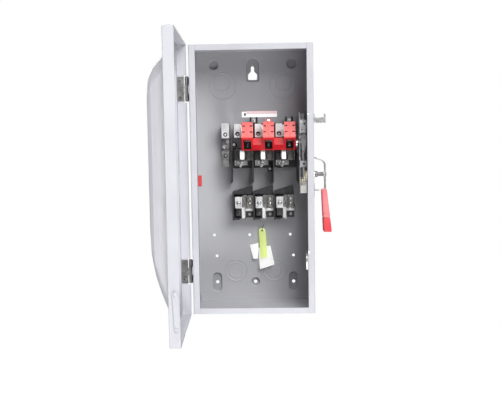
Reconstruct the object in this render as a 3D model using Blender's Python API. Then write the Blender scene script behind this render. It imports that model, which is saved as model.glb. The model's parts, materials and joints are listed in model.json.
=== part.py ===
"""Fusible safety switch in a wall-mounted sheet-metal enclosure: door swung open, handle down (off).

Run with blender --background --python part.py, or from the text editor. Dimensions below are millimetres
and degrees. Points are written (x, depth, height) from the centre of the enclosure's front opening: x to
the right, depth towards the wall, height up. Meshes are scaled to metres as they are made, and the
enclosure's empty sets them in the world frame, whose origin is on the wall at the flat of the top hanging
foot.
"""

from math import acos, atan2, cos, degrees, hypot, isclose, pi, radians, sin

import bmesh
import bpy
from mathutils import Matrix, Vector

METRES = 0.001
GAP = 0.3                    # between pieces that touch in the real assembly

# Enclosure
BOX_WIDTH = 226.0
BOX_HEIGHT = 495.0
BOX_DEPTH = 116.0            # front opening to the inside of the back panel
SHEET = 1.6
FOOT_RISE = 4.4              # pressed feet stand proud of the back panel
LIP = 12.0                   # return flange down each side of the opening
END_LIP = 10.5               # return flange across the top and the bottom
END_BACK_LIP = 14.0
BEND = 2.4                   # outside radius of a folded corner
HANG_HEIGHT = 226.5          # flat of the top foot that touches the wall, above the centre
FOOT_SPREAD = 76.5
FOOT_HOLE = 3.4
KEYHOLE_NECK = 3.2           # half widths of the keyhole's neck
KEYHOLE_ENTRY = 8.8          # and of its entry
KEYHOLE_HEIGHTS = (191.6, 202.4, 208.0, 218.4)   # bottom, shoulders' foot and head, top of the neck

HALF_WIDTH = BOX_WIDTH / 2
HALF_HEIGHT = BOX_HEIGHT / 2
BACK = BOX_DEPTH + SHEET
WALL = BACK + FOOT_RISE
SIDE = HALF_WIDTH + GAP      # pieces fixed outside the right side start here
ON_BACK = BOX_DEPTH - GAP    # and those fixed inside the back panel end here

# Door
DOOR_OPEN = 87.9
DOOR_FACE = -3.2             # depth of the door's outer face when it is shut
DOOR_FLANGE_END = 15.0
DOOR_OVERHANG = 3.1          # past the enclosure's top, bottom and right side
DOOR_HINGE_OVERHANG = 4.1    # past its left side, where the hinge leaf has to fit
DOME_RISE = 31.0
DOME_FOOT = (95.0, 213.5, -206.5, 26.0)   # half width, top, bottom and corner where the bulge starts
DOME_CROWN = (68.0, 170.0, -99.0, 34.0)   # and where it is full
HINGE_X = -HALF_WIDTH - 5.4
HINGE_DEPTH = DOOR_FLANGE_END
HINGE_HEIGHTS = (169.0, -169.0)
HINGE_TALL = 44.0
KNUCKLE = 14.4               # length of the door's knuckle
KNUCKLE_RADIUS = 3.2
PIN_RADIUS = 1.5
NOTCH_DEPTH = 10.8           # the hinge-side flange is cut back to here at each knuckle
PIN_CLEAR = 0.35             # between a pin and its bore
LATCH_PIVOT = (8.0, -163.0)  # depth and height on the door's free flange

# Switch poles
POLE_PITCH = 40.0
POLES = tuple(30.3 + POLE_PITCH * step for step in (-1, 0, 1))
BASE_FRONT = 104.0           # depth of the moulded bases' front face
STRAP = 2.6                  # bus strap thickness
ROTOR_DEPTH = 86.0
ROTOR_HEIGHT = 68.7
ROTOR_AXIS = (ROTOR_DEPTH, ROTOR_HEIGHT)
ROTOR_OPEN = 55.0            # the blades stand this far off their shut position
HOOD_WIDTH = 21.0
HOOD_DEEP = 36.6
HOOD_TALL = 38.4
HOOD_WALL = 1.8
RIDGE = (-24.0, 50.0)        # hood's front top edge from the rotor axis, blades shut
CROSSBAR = (-24.0, -8.0, 9.0, 27.0)
BLADE = 3.2
LUG_SIDE = 30.6              # reach of a pole's parts to its left, where the lugs are
LEAD_SIDE = 13.4             # and to its right
PRONGS = (POLES[0] + 11.0, POLES[-1])
FUSE_SHIFT = 1.6             # fuses stand this far right of the blades
LEAF = 1.5                   # thickness of a fuse clip's leaf
FUSE_GRIP = 4.6              # half the gap between a fuse clip's leaves
STRAP_BACK = BASE_FRONT - GAP
STRAP_FRONT = STRAP_BACK - STRAP
INTO_STRAP = STRAP_FRONT + 0.8   # pieces that rise from a strap start inside it

# Handle and mechanism
HANDLE_DEPTH = 50.0
HANDLE_HEIGHT = 8.0
HANDLE_AXIS = (HANDLE_DEPTH, HANDLE_HEIGHT)
SHAFT_RADIUS = 3.7
COLLAR_RADIUS = 5.5
SHAFT_NECK = 2.6             # where the shaft passes through the arm
CRANK_REACH = 12.0
CRANK_START = 45.7           # crank's direction, from straight down towards the front
ROTOR_CRANK_REACH = 25.0
ROTOR_CRANK_START = 93.2
ARM_X = 135.9
ARM_THICK = 2.4
ARM_WIDE = 16.0
ARM_FOOT = -62.0             # lower end, inside the grip
ARM_CURL = 11.0              # radius of its bend towards the wall
ARM_CURL_HEIGHT = 24.0
ARM_CURL_TURN = 68.0
ARM_TIP = 14.6               # straight run past the bend
GRIP_TOP = -20.0
GRIP_SPLIT = -74.0
GRIP_END = -101.0
FRAME_X = 88.3
FRAME_SHEET = 1.6
LINK_LOW_X = 97.0
LINK_HIGH_X = 94.0
ROD_RADIUS = 1.9
SPRING_RADIUS = 3.6
INTERLOCK_X = 91.8
INTERLOCK_PIVOT = (47.0, -8.0)

# Neutral
NEUTRAL_X = -52.8


# ------------------------------------------------------------------ scene and materials

def clear_scene():
    for item in list(bpy.data.objects):
        bpy.data.objects.remove(item, do_unlink=True)


def material(name, colour, roughness, metallic=0.0):
    made = bpy.data.materials.new(name)
    made.use_nodes = True
    shader = made.node_tree.nodes["Principled BSDF"]
    shader.inputs["Base Color"].default_value = (*colour, 1.0)
    shader.inputs["Roughness"].default_value = roughness
    shader.inputs["Metallic"].default_value = metallic
    made.diffuse_color = (*colour, 1.0)
    return made


def make_materials():
    return {
        "paint": material("enclosure_paint", (0.72, 0.74, 0.80), 0.42),
        "black": material("black_moulding", (0.035, 0.036, 0.04), 0.55),
        "sheet": material("barrier_sheet", (0.07, 0.07, 0.075), 0.6),
        "red": material("red_moulding", (0.72, 0.03, 0.05), 0.35),
        "grip": material("grip_red", (0.78, 0.12, 0.16), 0.45),
        "grip_end": material("grip_end_red", (0.66, 0.03, 0.06), 0.4),
        "zinc": material("zinc_plate", (0.62, 0.63, 0.64), 0.35, 1.0),
        "yellow_zinc": material("yellow_zinc", (0.70, 0.60, 0.36), 0.35, 1.0),
        "steel": material("dark_steel", (0.16, 0.16, 0.17), 0.4, 1.0),
        "aluminium": material("lug_aluminium", (0.72, 0.73, 0.74), 0.35, 1.0),
        "tin": material("tinned_copper", (0.78, 0.76, 0.72), 0.28, 1.0),
        "nylon": material("white_nylon", (0.85, 0.85, 0.83), 0.5),
        "label": material("white_label", (0.88, 0.87, 0.87), 0.5),
        "red_label": material("red_label", (0.70, 0.08, 0.08), 0.5),
        "tag": material("tag_green", (0.66, 0.76, 0.28), 0.6),
        "card": material("tag_card", (0.86, 0.86, 0.84), 0.7),
    }


# ------------------------------------------------------------------ bodies

class Body:
    """An empty on a joint's axis. Its pieces are drawn in enclosure coordinates and hang from it."""

    def __init__(self, name, pivot, parent=None, axis="X", turn=0.0):
        self.pivot = Vector(pivot)
        self.empty = bpy.data.objects.new(name, None)
        bpy.context.collection.objects.link(self.empty)
        if parent is None:
            self.empty.location = Vector((0.0, -WALL, -HANG_HEIGHT)) * METRES
        else:
            self.empty.parent = parent.empty
            self.empty.location = (self.pivot - parent.pivot) * METRES
        self.empty.rotation_euler["XYZ".index(axis)] = radians(turn)

    def add(self, name, bm, look, smooth=True):
        """Turns a bmesh into an object on this body, with its origin on the body's pivot."""
        bmesh.ops.transform(bm, matrix=Matrix.Translation(-self.pivot), verts=bm.verts)
        bmesh.ops.scale(bm, vec=Vector((METRES, METRES, METRES)), verts=bm.verts)
        mesh = bpy.data.meshes.new(name)
        bm.to_mesh(mesh)
        bm.free()
        if look is not None:
            mesh.materials.append(look)
        if smooth:
            mesh.shade_smooth()
            mesh.set_sharp_from_angle(angle=radians(32.0))
        item = bpy.data.objects.new(name, mesh)
        bpy.context.collection.objects.link(item)
        item.parent = self.empty
        return item

    def combine(self, item, operation, bm):
        """Joins to or cuts from an object with a hidden shape of its own."""
        order = sum(1 for modifier in item.modifiers if modifier.type == "BOOLEAN")
        tool = self.add(f"{item.name}.tool{order}", bm, None, smooth=False)
        tool.hide_render = True
        tool.display_type = "WIRE"
        step = item.modifiers.new(operation.lower(), "BOOLEAN")
        step.operation = operation
        step.solver = "EXACT"
        step.use_self = True
        step.object = tool

    def join(self, item, bm):
        self.combine(item, "UNION", bm)

    def cut(self, item, bm):
        self.combine(item, "DIFFERENCE", bm)


def bevel(item, width, segments=1, angle=35.0):
    step = item.modifiers.new("bevel", "BEVEL")
    step.width = width * METRES
    step.segments = segments
    step.limit_method = "ANGLE"
    step.angle_limit = radians(angle)


def thicken(item, thickness):
    """Gives an open surface its sheet thickness, inwards from the face that was drawn."""
    step = item.modifiers.new("sheet", "SOLIDIFY")
    step.thickness = thickness * METRES
    step.offset = -1.0
    step.use_even_offset = True


# ------------------------------------------------------------------ mesh helpers

def new_mesh():
    return bmesh.new()


def add_box(bm, low, high):
    made = bmesh.ops.create_cube(bm, size=1.0)
    for vert in made["verts"]:
        vert.co = Vector([low[i] if vert.co[i] < 0 else high[i] for i in range(3)])


def box(low, high):
    bm = new_mesh()
    add_box(bm, low, high)
    return bm


def placed(axis, along, across):
    """A point with one coordinate given by name and the other two in their usual order."""
    point = list(across)
    point.insert("XYZ".index(axis), along)
    return Vector(point)


def add_prism(bm, axis, outline, start, end):
    """Extrudes a closed outline, given in the two coordinates other than axis."""
    lower = [bm.verts.new(placed(axis, start, point)) for point in outline]
    upper = [bm.verts.new(placed(axis, end, point)) for point in outline]
    faces = [bm.faces.new(lower), bm.faces.new(upper)]
    count = len(outline)
    for i in range(count):
        j = (i + 1) % count
        faces.append(bm.faces.new((lower[i], lower[j], upper[j], upper[i])))
    bmesh.ops.recalc_face_normals(bm, faces=faces)


def prism(axis, outline, start, end):
    bm = new_mesh()
    add_prism(bm, axis, outline, start, end)
    return bm


def arc(centre, radius, start, end, steps):
    """Points round a circle from one angle to another, in degrees."""
    angles = [radians(start + (end - start) * i / steps) for i in range(steps + 1)]
    return [(centre[0] + radius * cos(a), centre[1] + radius * sin(a)) for a in angles]


def circle(centre, radius, steps):
    return arc(centre, radius, 0.0, 360.0, steps)[:-1]


def add_cylinder(bm, axis, centre, radius, start, end, steps=16):
    add_prism(bm, axis, circle(centre, radius, steps), start, end)


def cylinder(axis, centre, radius, start, end, steps=16):
    return prism(axis, circle(centre, radius, steps), start, end)


def stadium(centre, radius, reach, steps):
    """A slot outline: two half circles, their centres reach above and below the middle."""
    x, z = centre
    return arc((x, z + reach), radius, 0.0, 180.0, steps) + arc((x, z - reach), radius, 180.0, 360.0, steps)


def capsule(first, second, first_radius, second_radius, steps):
    """The outline round two circles and the straight lines that touch both."""
    span = hypot(second[0] - first[0], second[1] - first[1])
    heading = degrees(atan2(second[1] - first[1], second[0] - first[0]))
    lean = degrees(acos((first_radius - second_radius) / span))
    near = arc(first, first_radius, heading + lean, heading + 360.0 - lean, steps)
    far = arc(second, second_radius, heading - lean, heading + lean, steps)
    return near + far


def lathe(axis, centre, profile, steps):
    """Turns (distance along the axis, radius) steps into a closed solid of revolution."""
    bm = new_mesh()
    rings = []
    for along, radius in profile:
        rings.append([bm.verts.new(placed(axis, along, p)) for p in circle(centre, radius, steps)])
    for lower, upper in zip(rings, rings[1:]):
        bridge(bm, lower, upper)
    bm.faces.new(rings[0])
    bm.faces.new(rings[-1])
    bmesh.ops.recalc_face_normals(bm, faces=bm.faces[:])
    return bm


def loop(bm, points):
    return [bm.verts.new(point) for point in points]


def loop_edges(bm, verts):
    edges = []
    for first, second in zip(verts, verts[1:] + verts[:1]):
        edges.append(bm.edges.get((first, second)) or bm.edges.new((first, second)))
    return edges


def bridge(bm, first, second):
    count = len(first)
    for i in range(count):
        j = (i + 1) % count
        bm.faces.new((first[i], first[j], second[j], second[i]))


def fill(bm, loops):
    """Fills a flat region that its first loop bounds and its other loops pierce."""
    edges = []
    for verts in loops:
        edges.extend(loop_edges(bm, verts))
    bmesh.ops.triangle_fill(bm, edges=edges, use_beauty=True)


def face_outwards(bm, axis, sign):
    """Makes the faces agree, and turns them all if those at the far side of the sheet look inwards."""
    index = "XYZ".index(axis)
    bmesh.ops.recalc_face_normals(bm, faces=bm.faces[:])
    flat = [face for face in bm.faces if abs(face.normal[index]) > 0.99]
    extreme = max(flat, key=lambda face: sign * face.calc_center_median()[index])
    if extreme.normal[index] * sign < 0:
        bmesh.ops.reverse_faces(bm, faces=bm.faces[:])


# ------------------------------------------------------------------ pressed features of a sheet

def pressed_ring(bm, surface, centre, radius, steps):
    """A knockout's score line: a shallow groove. Returns its outer and inner loops."""
    half, sink = 0.7, -0.45
    outer = loop(bm, [surface(p, 0.0) for p in circle(centre, radius + half, steps)])
    floor = loop(bm, [surface(p, sink) for p in circle(centre, radius, steps)])
    inner = loop(bm, [surface(p, 0.0) for p in circle(centre, radius - half, steps)])
    bridge(bm, outer, floor)
    bridge(bm, floor, inner)
    return outer, inner


def knockout(bm, surface, rings, steps=20):
    """Rings of one eccentric knockout, largest first. Returns the loop that the sheet meets."""
    first = None
    within = None
    for centre, radius in rings:
        outer, inner = pressed_ring(bm, surface, centre, radius, steps)
        if within is None:
            first = outer
        else:
            fill(bm, [within, outer])
        within = inner
    fill(bm, [within])
    return first


def foot(bm, surface, outline, seat, hole=None):
    """A pressed foot that rises towards the wall, flat at its seat, with an optional hole."""
    base = loop(bm, [surface(p, 0.0) for p in outline])
    flat = loop(bm, [surface(p, FOOT_RISE) for p in seat])
    bridge(bm, base, flat)
    loops = [flat]
    if hole is not None:
        loops.append(loop(bm, [surface(p, FOOT_RISE) for p in hole]))
    fill(bm, loops)
    return base


def keyhole_outline(steps):
    """Bottle shape: a square entry for the screw head, sloping shoulders and a narrow neck for its shank."""
    bottom, foot_at, head, top = KEYHOLE_HEIGHTS
    neck, entry, corner = KEYHOLE_NECK, KEYHOLE_ENTRY, 2.0
    crown = arc((0.0, top - neck), neck, 0.0, 180.0, 2 * steps)
    left = [(-neck, head), (-entry, foot_at)]
    left += arc((-entry + corner, bottom + corner), corner, 180.0, 270.0, steps)
    right = arc((entry - corner, bottom + corner), corner, 270.0, 360.0, steps)
    return crown + left + right + [(entry, foot_at), (neck, head)]


def arch(half, top, bottom, corner, steps):
    """Round-topped outline with small lower corners."""
    crown = arc((0.0, top - half), half, 0.0, 180.0, 2 * steps)
    left = arc((-half + corner, bottom + corner), corner, 180.0, 270.0, steps)
    right = arc((half - corner, bottom + corner), corner, 270.0, 360.0, steps)
    return crown + left + right


# ------------------------------------------------------------------ enclosure

def back_features(bm):
    """Feet, screw holes and knockouts of the back panel, as loops that pierce it."""
    def surface(point, rise):
        return Vector((point[0], BACK + rise, point[1]))

    slope = 2.2
    steps = 8
    loops = [foot(bm, surface, arch(14.0, 235.5, 186.5, 5.0, 5),
                  arch(14.0 - slope, 235.5 - slope, 186.5 + slope, 5.0 - slope, 5), keyhole_outline(4))]
    for x in (-FOOT_SPREAD, FOOT_SPREAD):
        loops.append(foot(bm, surface, circle((x, 222.0), 11.0, 20), circle((x, 222.0), 11.0 - slope, 20)))
        spot = (x, -210.3)
        loops.append(foot(bm, surface, stadium(spot, 10.5, 10.5, steps),
                          stadium(spot, 10.5 - slope, 10.5, steps), circle(spot, FOOT_HOLE, 12)))
        loops.append(knockout(bm, surface, [((x * 0.765, 180.0), 25.5), ((x * 0.79, 185.0), 15.0)]))
        loops.append(knockout(bm, surface, [((x * 0.5, -186.0), 21.8), ((x * 0.5, -185.0), 14.3)]))
    middle = (0.0, -210.1)
    loops.append(foot(bm, surface, circle(middle, 10.2, 20), circle(middle, 10.2 - slope, 20),
                      circle(middle, FOOT_HOLE, 12)))
    for spot in ((-81.0, -114.6), (-10.5, -114.6), (70.6, -114.6), (-76.6, -156.6), (76.6, -156.6)):
        loops.append(loop(bm, [surface(p, 0.0) for p in circle(spot, 2.9, 10)]))
    return loops


def rounded_path(points, radius, steps):
    """An open path of right-angled folds, each with its bend drawn as an arc."""
    path = [points[0]]
    for before, corner, after in zip(points, points[1:], points[2:]):
        before, corner, after = Vector(before), Vector(corner), Vector(after)
        into = (before - corner).normalized()
        out = (after - corner).normalized()
        centre = corner + (into + out) * radius
        for step in range(steps + 1):
            turn = radians(90.0 * step / steps)
            path.append(tuple(centre - out * radius * cos(turn) - into * radius * sin(turn)))
    return path + [points[-1]]


def enclosure_wrap(body, looks):
    """Back, two sides and their return lips, folded from one sheet."""
    bm = new_mesh()
    folds = [(-HALF_WIDTH + LIP, 0.0), (-HALF_WIDTH, 0.0), (-HALF_WIDTH, BACK),
             (HALF_WIDTH, BACK), (HALF_WIDTH, 0.0), (HALF_WIDTH - LIP, 0.0)]
    profile = rounded_path(folds, BEND, 3)
    low = [bm.verts.new((x, depth, -HALF_HEIGHT)) for x, depth in profile]
    high = [bm.verts.new((x, depth, HALF_HEIGHT)) for x, depth in profile]
    for i, (start, end) in enumerate(zip(profile, profile[1:])):
        corners = [low[i], low[i + 1], high[i + 1], high[i]]
        flat = {axis for axis in (0, 1) if isclose(start[axis], end[axis], abs_tol=1e-3)}
        if flat == {1} and isclose(start[1], BACK, abs_tol=1e-3):
            fill(bm, [corners] + back_features(bm))
        elif flat == {0} and start[0] > 0:
            shaft_hole = loop(bm, [Vector((HALF_WIDTH, depth, z)) for depth, z in
                                   circle((HANDLE_DEPTH, HANDLE_HEIGHT), SHAFT_RADIUS + 1.5, 16)])
            fill(bm, [corners, shaft_hole])
        else:
            bm.faces.new(corners)
    face_outwards(bm, "Y", 1.0)
    item = body.add("enclosure_wrap", bm, looks["paint"])
    thicken(item, SHEET)
    return item


def end_wall(body, looks, name, side):
    """Top or bottom of the enclosure, with a front lip and a lip welded to the back panel."""
    bm = new_mesh()
    outer = side * HALF_HEIGHT
    half = HALF_WIDTH - SHEET - GAP
    front_half = HALF_WIDTH - LIP - GAP
    notch = SHEET + 1.3
    rear = BOX_DEPTH - GAP
    rear_half = half - 1.5

    def surface(point, rise):
        return Vector((point[0], point[1], outer + side * rise))

    outline = [(-front_half, 0.0), (front_half, 0.0), (front_half, notch), (half, notch),
               (half, rear - 3.0), (rear_half, rear - 3.0), (rear_half, rear), (-rear_half, rear),
               (-rear_half, rear - 3.0), (-half, rear - 3.0), (-half, notch), (-front_half, notch)]
    top = loop(bm, [surface(p, 0.0) for p in outline])
    rings = knockout(bm, surface, [((0.0, 62.0), 30.0), ((0.0, 57.0), 19.0)])
    fill(bm, [top, rings])
    for first, second, drop in ((top[0], top[1], END_LIP), (top[6], top[7], END_BACK_LIP)):
        hang = Vector((0.0, 0.0, -side * drop))
        lower = [bm.verts.new(vert.co + hang) for vert in (first, second)]
        bm.faces.new((first, second, lower[1], lower[0]))
    face_outwards(bm, "Z", side)
    item = body.add(name, bm, looks["paint"])
    thicken(item, SHEET)
    return item


# ------------------------------------------------------------------ door

def door_bounds():
    left = -HALF_WIDTH - DOOR_HINGE_OVERHANG
    right = HALF_WIDTH + DOOR_OVERHANG
    top = HALF_HEIGHT + DOOR_OVERHANG
    return left, right, -top, top


def rounded_rectangle(left, right, bottom, top, corner, steps):
    corners = ((right - corner, top - corner, 0.0), (left + corner, top - corner, 90.0),
               (left + corner, bottom + corner, 180.0), (right - corner, bottom + corner, 270.0))
    points = []
    for x, z, start in corners:
        points += arc((x, z), corner, start, start + 90.0, steps)
    return points


def dome_ring(share):
    """Outline of the door's bulge part way up: steep at its top, long and shallow at its foot."""
    half, top, bottom, corner = (foot_at + (crown_at - foot_at) * share
                                 for foot_at, crown_at in zip(DOME_FOOT, DOME_CROWN))
    return rounded_rectangle(-half, half, bottom, top, corner, 5)


def door_flanges(bm, inner, rim, right, left):
    """The four flanges between two rounded outlines: a rivet hole in one, knuckle notches in another."""
    count = len(inner)
    rivet = loop(bm, [Vector((right, depth, z)) for depth, z in circle(LATCH_PIVOT, 2.3, 8)])
    reach = HINGE_TALL / 2 + 3.0
    notches = []
    for height in HINGE_HEIGHTS:
        corners = ((DOOR_FLANGE_END, reach), (NOTCH_DEPTH, reach),
                   (NOTCH_DEPTH, -reach), (DOOR_FLANGE_END, -reach))
        notches += loop(bm, [Vector((left, depth, height + z)) for depth, z in corners])
    for i in range(count):
        j = (i + 1) % count
        corners = [inner[i], inner[j], rim[j], rim[i]]
        upright = abs(inner[i].co.z - inner[j].co.z) > HALF_HEIGHT
        if upright and inner[i].co.x > 0:
            fill(bm, [corners, rivet])
        elif upright:
            fill(bm, [[inner[j], inner[i], rim[i]] + notches + [rim[j]]])
        else:
            bm.faces.new(corners)


def door_panel(body, looks):
    """Pan-shaped door with a pressed bulge, its flanges closing over the enclosure's edges."""
    bm = new_mesh()
    left, right, bottom, top = door_bounds()
    fold, corner, steps = 2.0, 2.6, 3
    outlines = []
    for share in (0.0, 0.33, 0.66, 1.0):
        turn = share * pi / 2
        inset = fold * (1.0 - sin(turn))
        depth = DOOR_FACE + fold * (1.0 - cos(turn))
        points = rounded_rectangle(left + inset, right - inset, bottom + inset, top - inset,
                                   corner - inset, steps)
        outlines.append(loop(bm, [Vector((x, depth, z)) for x, z in points]))
    points = rounded_rectangle(left, right, bottom, top, corner, steps)
    rim = loop(bm, [Vector((x, DOOR_FLANGE_END, z)) for x, z in points])

    rings = []
    for share in (0.0, 0.14, 0.32, 0.55, 0.78, 1.0):
        depth = DOOR_FACE - DOME_RISE * sin(share * pi / 2)
        rings.append(loop(bm, [Vector((x, depth, z)) for x, z in dome_ring(share)]))
    for run in (outlines, rings):
        for outer, inner in zip(run, run[1:]):
            bridge(bm, outer, inner)
    bm.faces.new(rings[-1])
    fill(bm, [outlines[0], rings[0]])
    door_flanges(bm, outlines[-1], rim, right, left)
    face_outwards(bm, "Y", -1.0)
    item = body.add("door_panel", bm, looks["paint"])
    thicken(item, SHEET)
    return item


def hinge_box_leaf(body, looks, name, height):
    """Fixed leaf on the enclosure's side, with a knuckle above and below the door's."""
    near, far = -HALF_WIDTH - GAP, -HALF_WIDTH - GAP - SHEET
    centre = (HINGE_X, HINGE_DEPTH)
    outline = [(near, 36.0), (near, 21.0)]
    outline += arc(centre, KNUCKLE_RADIUS, 20.0, -255.0, 12)
    outline += [(far, 22.5), (far, 36.0)]
    low, high = height - HINGE_TALL / 2, height + HINGE_TALL / 2
    item = body.add(name, prism("Z", outline, low, high), looks["zinc"])
    body.cut(item, box((HINGE_X - 6.0, HINGE_DEPTH - 6.0, height - KNUCKLE / 2 - GAP),
                       (-HALF_WIDTH + 1.0, 23.5, height + KNUCKLE / 2 + GAP)))
    body.cut(item, cylinder("Z", centre, PIN_RADIUS + PIN_CLEAR, low - 1.0, high + 1.0, 12))
    return item


def hinge_door_leaf(body, looks, name, height):
    """Leaf on the inside of the door's flange, bent out through its notch to one knuckle."""
    inside = -HALF_WIDTH - DOOR_HINGE_OVERHANG + SHEET + GAP
    thick = 1.2
    centre = (HINGE_X, HINGE_DEPTH)
    outline = [(inside + thick, -1.0), (inside + thick, 10.2)]
    outline += arc(centre, KNUCKLE_RADIUS, -20.0, 305.0, 14)
    outline += [(inside, 11.6), (inside, -1.0)]
    low, high = height - HINGE_TALL / 2, height + HINGE_TALL / 2
    item = body.add(name, prism("Z", outline, low, high), looks["zinc"])
    space = new_mesh()
    for start, end in ((low - 1.0, height - KNUCKLE / 2), (height + KNUCKLE / 2, high + 1.0)):
        add_box(space, (HINGE_X - 6.0, 10.4, start), (inside + thick + 1.0, HINGE_DEPTH + 6.0, end))
    body.cut(item, space)
    body.cut(item, cylinder("Z", centre, PIN_RADIUS + PIN_CLEAR, low, high, 12))
    return item


def hinge_pin(body, looks, name, height):
    end = HINGE_TALL / 2
    profile = [(height - end - 1.0, 1.0), (height - end - 0.4, PIN_RADIUS),
               (height + end + GAP, PIN_RADIUS), (height + end + GAP, 2.7),
               (height + end + 1.2, 2.7), (height + end + 1.8, 1.6)]
    return body.add(name, lathe("Z", (HINGE_X, HINGE_DEPTH), profile, 12), looks["zinc"])


def latch_lever(body, looks):
    """Flat lever on the outside of the door's free flange, on a rivet at its upper end."""
    face = HALF_WIDTH + DOOR_OVERHANG + GAP
    top, bottom = LATCH_PIVOT, (9.5, -219.0)
    item = body.add("door_latch_lever", prism("X", capsule(top, bottom, 4.6, 3.6, 6), face, face + 1.8),
                    looks["paint"])
    body.join(item, lathe("X", top, [(face - 2.6, 1.9), (face + 1.0, 1.9)], 10))
    body.join(item, lathe("X", top, [(face + 1.2, 3.4), (face + 2.8, 3.4), (face + 3.4, 2.0)], 12))
    body.join(item, lathe("X", bottom, [(face + 1.2, 2.6), (face + 2.8, 2.6), (face + 3.4, 1.6)], 12))
    return item


def door_catch(body, looks):
    """Spring catch behind the enclosure's right lip, where the door's latch closes."""
    outline = [(97.2, SHEET + GAP), (109.0, SHEET + GAP), (109.0, 3.4), (98.8, 3.4), (98.8, 9.0),
               (100.4, 11.0), (98.6, 15.0), (97.0, 14.2), (98.2, 11.2), (97.2, 9.4)]
    return body.add("door_catch", prism("Z", outline, -166.0, -136.0), looks["zinc"])


# ------------------------------------------------------------------ outside hardware

def hasp_bracket(body, looks):
    """Two-eared staple on the enclosure's right side."""
    outer, low, web, high = 136.0, 104.0, 114.0, 121.0
    ear = 2.6
    outline = [(SIDE, low), (outer, low), (outer, high), (outer - ear, high), (outer - ear, web),
               (SIDE + ear, web), (SIDE + ear, high), (SIDE, high)]
    item = body.add("hasp_bracket", prism("Y", outline, 20.0, 34.0), looks["zinc"])
    body.cut(item, cylinder("Z", ((SIDE + outer) / 2, 27.0), 3.6, low - 4.0, web + 4.0, 14))
    return item


def lock_plate(body, looks):
    """Plate under the handle with a tab that a padlock passes through."""
    item = body.add("lock_plate", box((SIDE, 26.0, -34.0), (SIDE + 1.6, 74.0, -8.0)), looks["zinc"])
    body.join(item, box((SIDE + 1.0, 30.0, -22.3), (124.0, 42.0, -19.9)))
    head = [(SIDE + 1.0, 2.6), (SIDE + 3.0, 2.6), (SIDE + 3.8, 1.4)]
    body.join(item, lathe("X", (66.0, -14.0), head, 12))
    body.cut(item, cylinder("Z", (119.4, 36.0), 3.0, -24.0, -18.0, 12))
    return item


def shaft_bushing(body, looks):
    """Flanged bushing on the wall that carries the handle's shaft."""
    profile = [(SIDE, 9.0), (SIDE + 1.6, 9.0), (SIDE + 1.6, 7.4), (SIDE + 3.4, 7.0)]
    item = body.add("shaft_bushing", lathe("X", HANDLE_AXIS, profile, 20), looks["zinc"])
    body.cut(item, cylinder("X", HANDLE_AXIS, SHAFT_RADIUS + PIN_CLEAR, SIDE - 2.0, SIDE + 5.0, 20))
    return item


def handle_shaft(body, looks):
    """Shaft with a collar outside the wall, and its end riveted over the arm."""
    inner = ARM_X - ARM_THICK / 2
    outer = ARM_X + ARM_THICK / 2
    collar = SIDE + 3.4 + GAP
    profile = [(99.2, SHAFT_RADIUS), (collar, SHAFT_RADIUS), (collar, COLLAR_RADIUS),
               (collar + 4.6, COLLAR_RADIUS), (collar + 5.4, SHAFT_RADIUS), (inner - GAP, SHAFT_RADIUS),
               (inner - GAP, SHAFT_NECK), (outer + GAP, SHAFT_NECK), (outer + GAP, SHAFT_RADIUS),
               (outer + 0.9, SHAFT_RADIUS), (outer + 1.4, SHAFT_NECK)]
    return body.add("handle_shaft", lathe("X", HANDLE_AXIS, profile, 20), looks["steel"])


def arm_outline():
    """Side of the handle's strip: straight through the grip and past the shaft, then bent to the wall."""
    half = ARM_THICK / 2
    centre = (ARM_X - ARM_CURL, ARM_CURL_HEIGHT)
    turn = radians(ARM_CURL_TURN)
    run = Vector((-sin(turn), cos(turn))) * ARM_TIP
    outer = arc(centre, ARM_CURL + half, 0.0, ARM_CURL_TURN, 8)
    inner = arc(centre, ARM_CURL - half, ARM_CURL_TURN, 0.0, 8)
    tip = [tuple(Vector(corner) + run) for corner in (outer[-1], inner[0])]
    return [(ARM_X + half, ARM_FOOT)] + outer + tip + inner + [(ARM_X - half, ARM_FOOT)]


def handle_arm(body, looks):
    low, high = HANDLE_DEPTH - ARM_WIDE / 2, HANDLE_DEPTH + ARM_WIDE / 2
    item = body.add("handle_arm", prism("Y", arm_outline(), low, high), looks["zinc"])
    body.cut(item, cylinder("X", HANDLE_AXIS, SHAFT_NECK + PIN_CLEAR, ARM_X - 5.0, ARM_X + 5.0, 16))
    return item


def grip_section(height):
    """Corners of the grip across its length: it widens and leans out towards its end."""
    share = (GRIP_TOP - height) / (GRIP_TOP - GRIP_END)
    inner = 128.4 + 3.4 * share
    outer = 138.6 + 9.0 * share
    half = 11.0 + 3.0 * share
    corner = 3.6
    return rounded_rectangle(inner, outer, HANDLE_DEPTH - half, HANDLE_DEPTH + half, corner, 3)


def grip_piece(heights):
    bm = new_mesh()
    rings = []
    for height in heights:
        rings.append(loop(bm, [Vector((x, depth, height)) for x, depth in grip_section(height)]))
    for lower, upper in zip(rings, rings[1:]):
        bridge(bm, lower, upper)
    bm.faces.new(rings[0])
    bm.faces.new(rings[-1])
    bmesh.ops.recalc_face_normals(bm, faces=bm.faces[:])
    return bm


def handle_grip(body, looks):
    middle = (GRIP_TOP + GRIP_SPLIT) / 2
    item = body.add("handle_grip", grip_piece((GRIP_TOP, middle, GRIP_SPLIT)), looks["grip"])
    bevel(item, 1.2, segments=1, angle=50.0)
    low = (ARM_X - ARM_THICK / 2 - GAP, HANDLE_DEPTH - ARM_WIDE / 2 - GAP, ARM_FOOT - GAP)
    high = (ARM_X + ARM_THICK / 2 + GAP, HANDLE_DEPTH + ARM_WIDE / 2 + GAP, GRIP_TOP + 5.0)
    body.cut(item, box(low, high))
    middle = (GRIP_SPLIT + GRIP_END) / 2
    end = body.add("handle_grip_end", grip_piece((GRIP_SPLIT - GAP, middle, GRIP_END)), looks["grip_end"])
    bevel(end, 2.0, segments=2, angle=50.0)


# ------------------------------------------------------------------ mechanism

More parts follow.
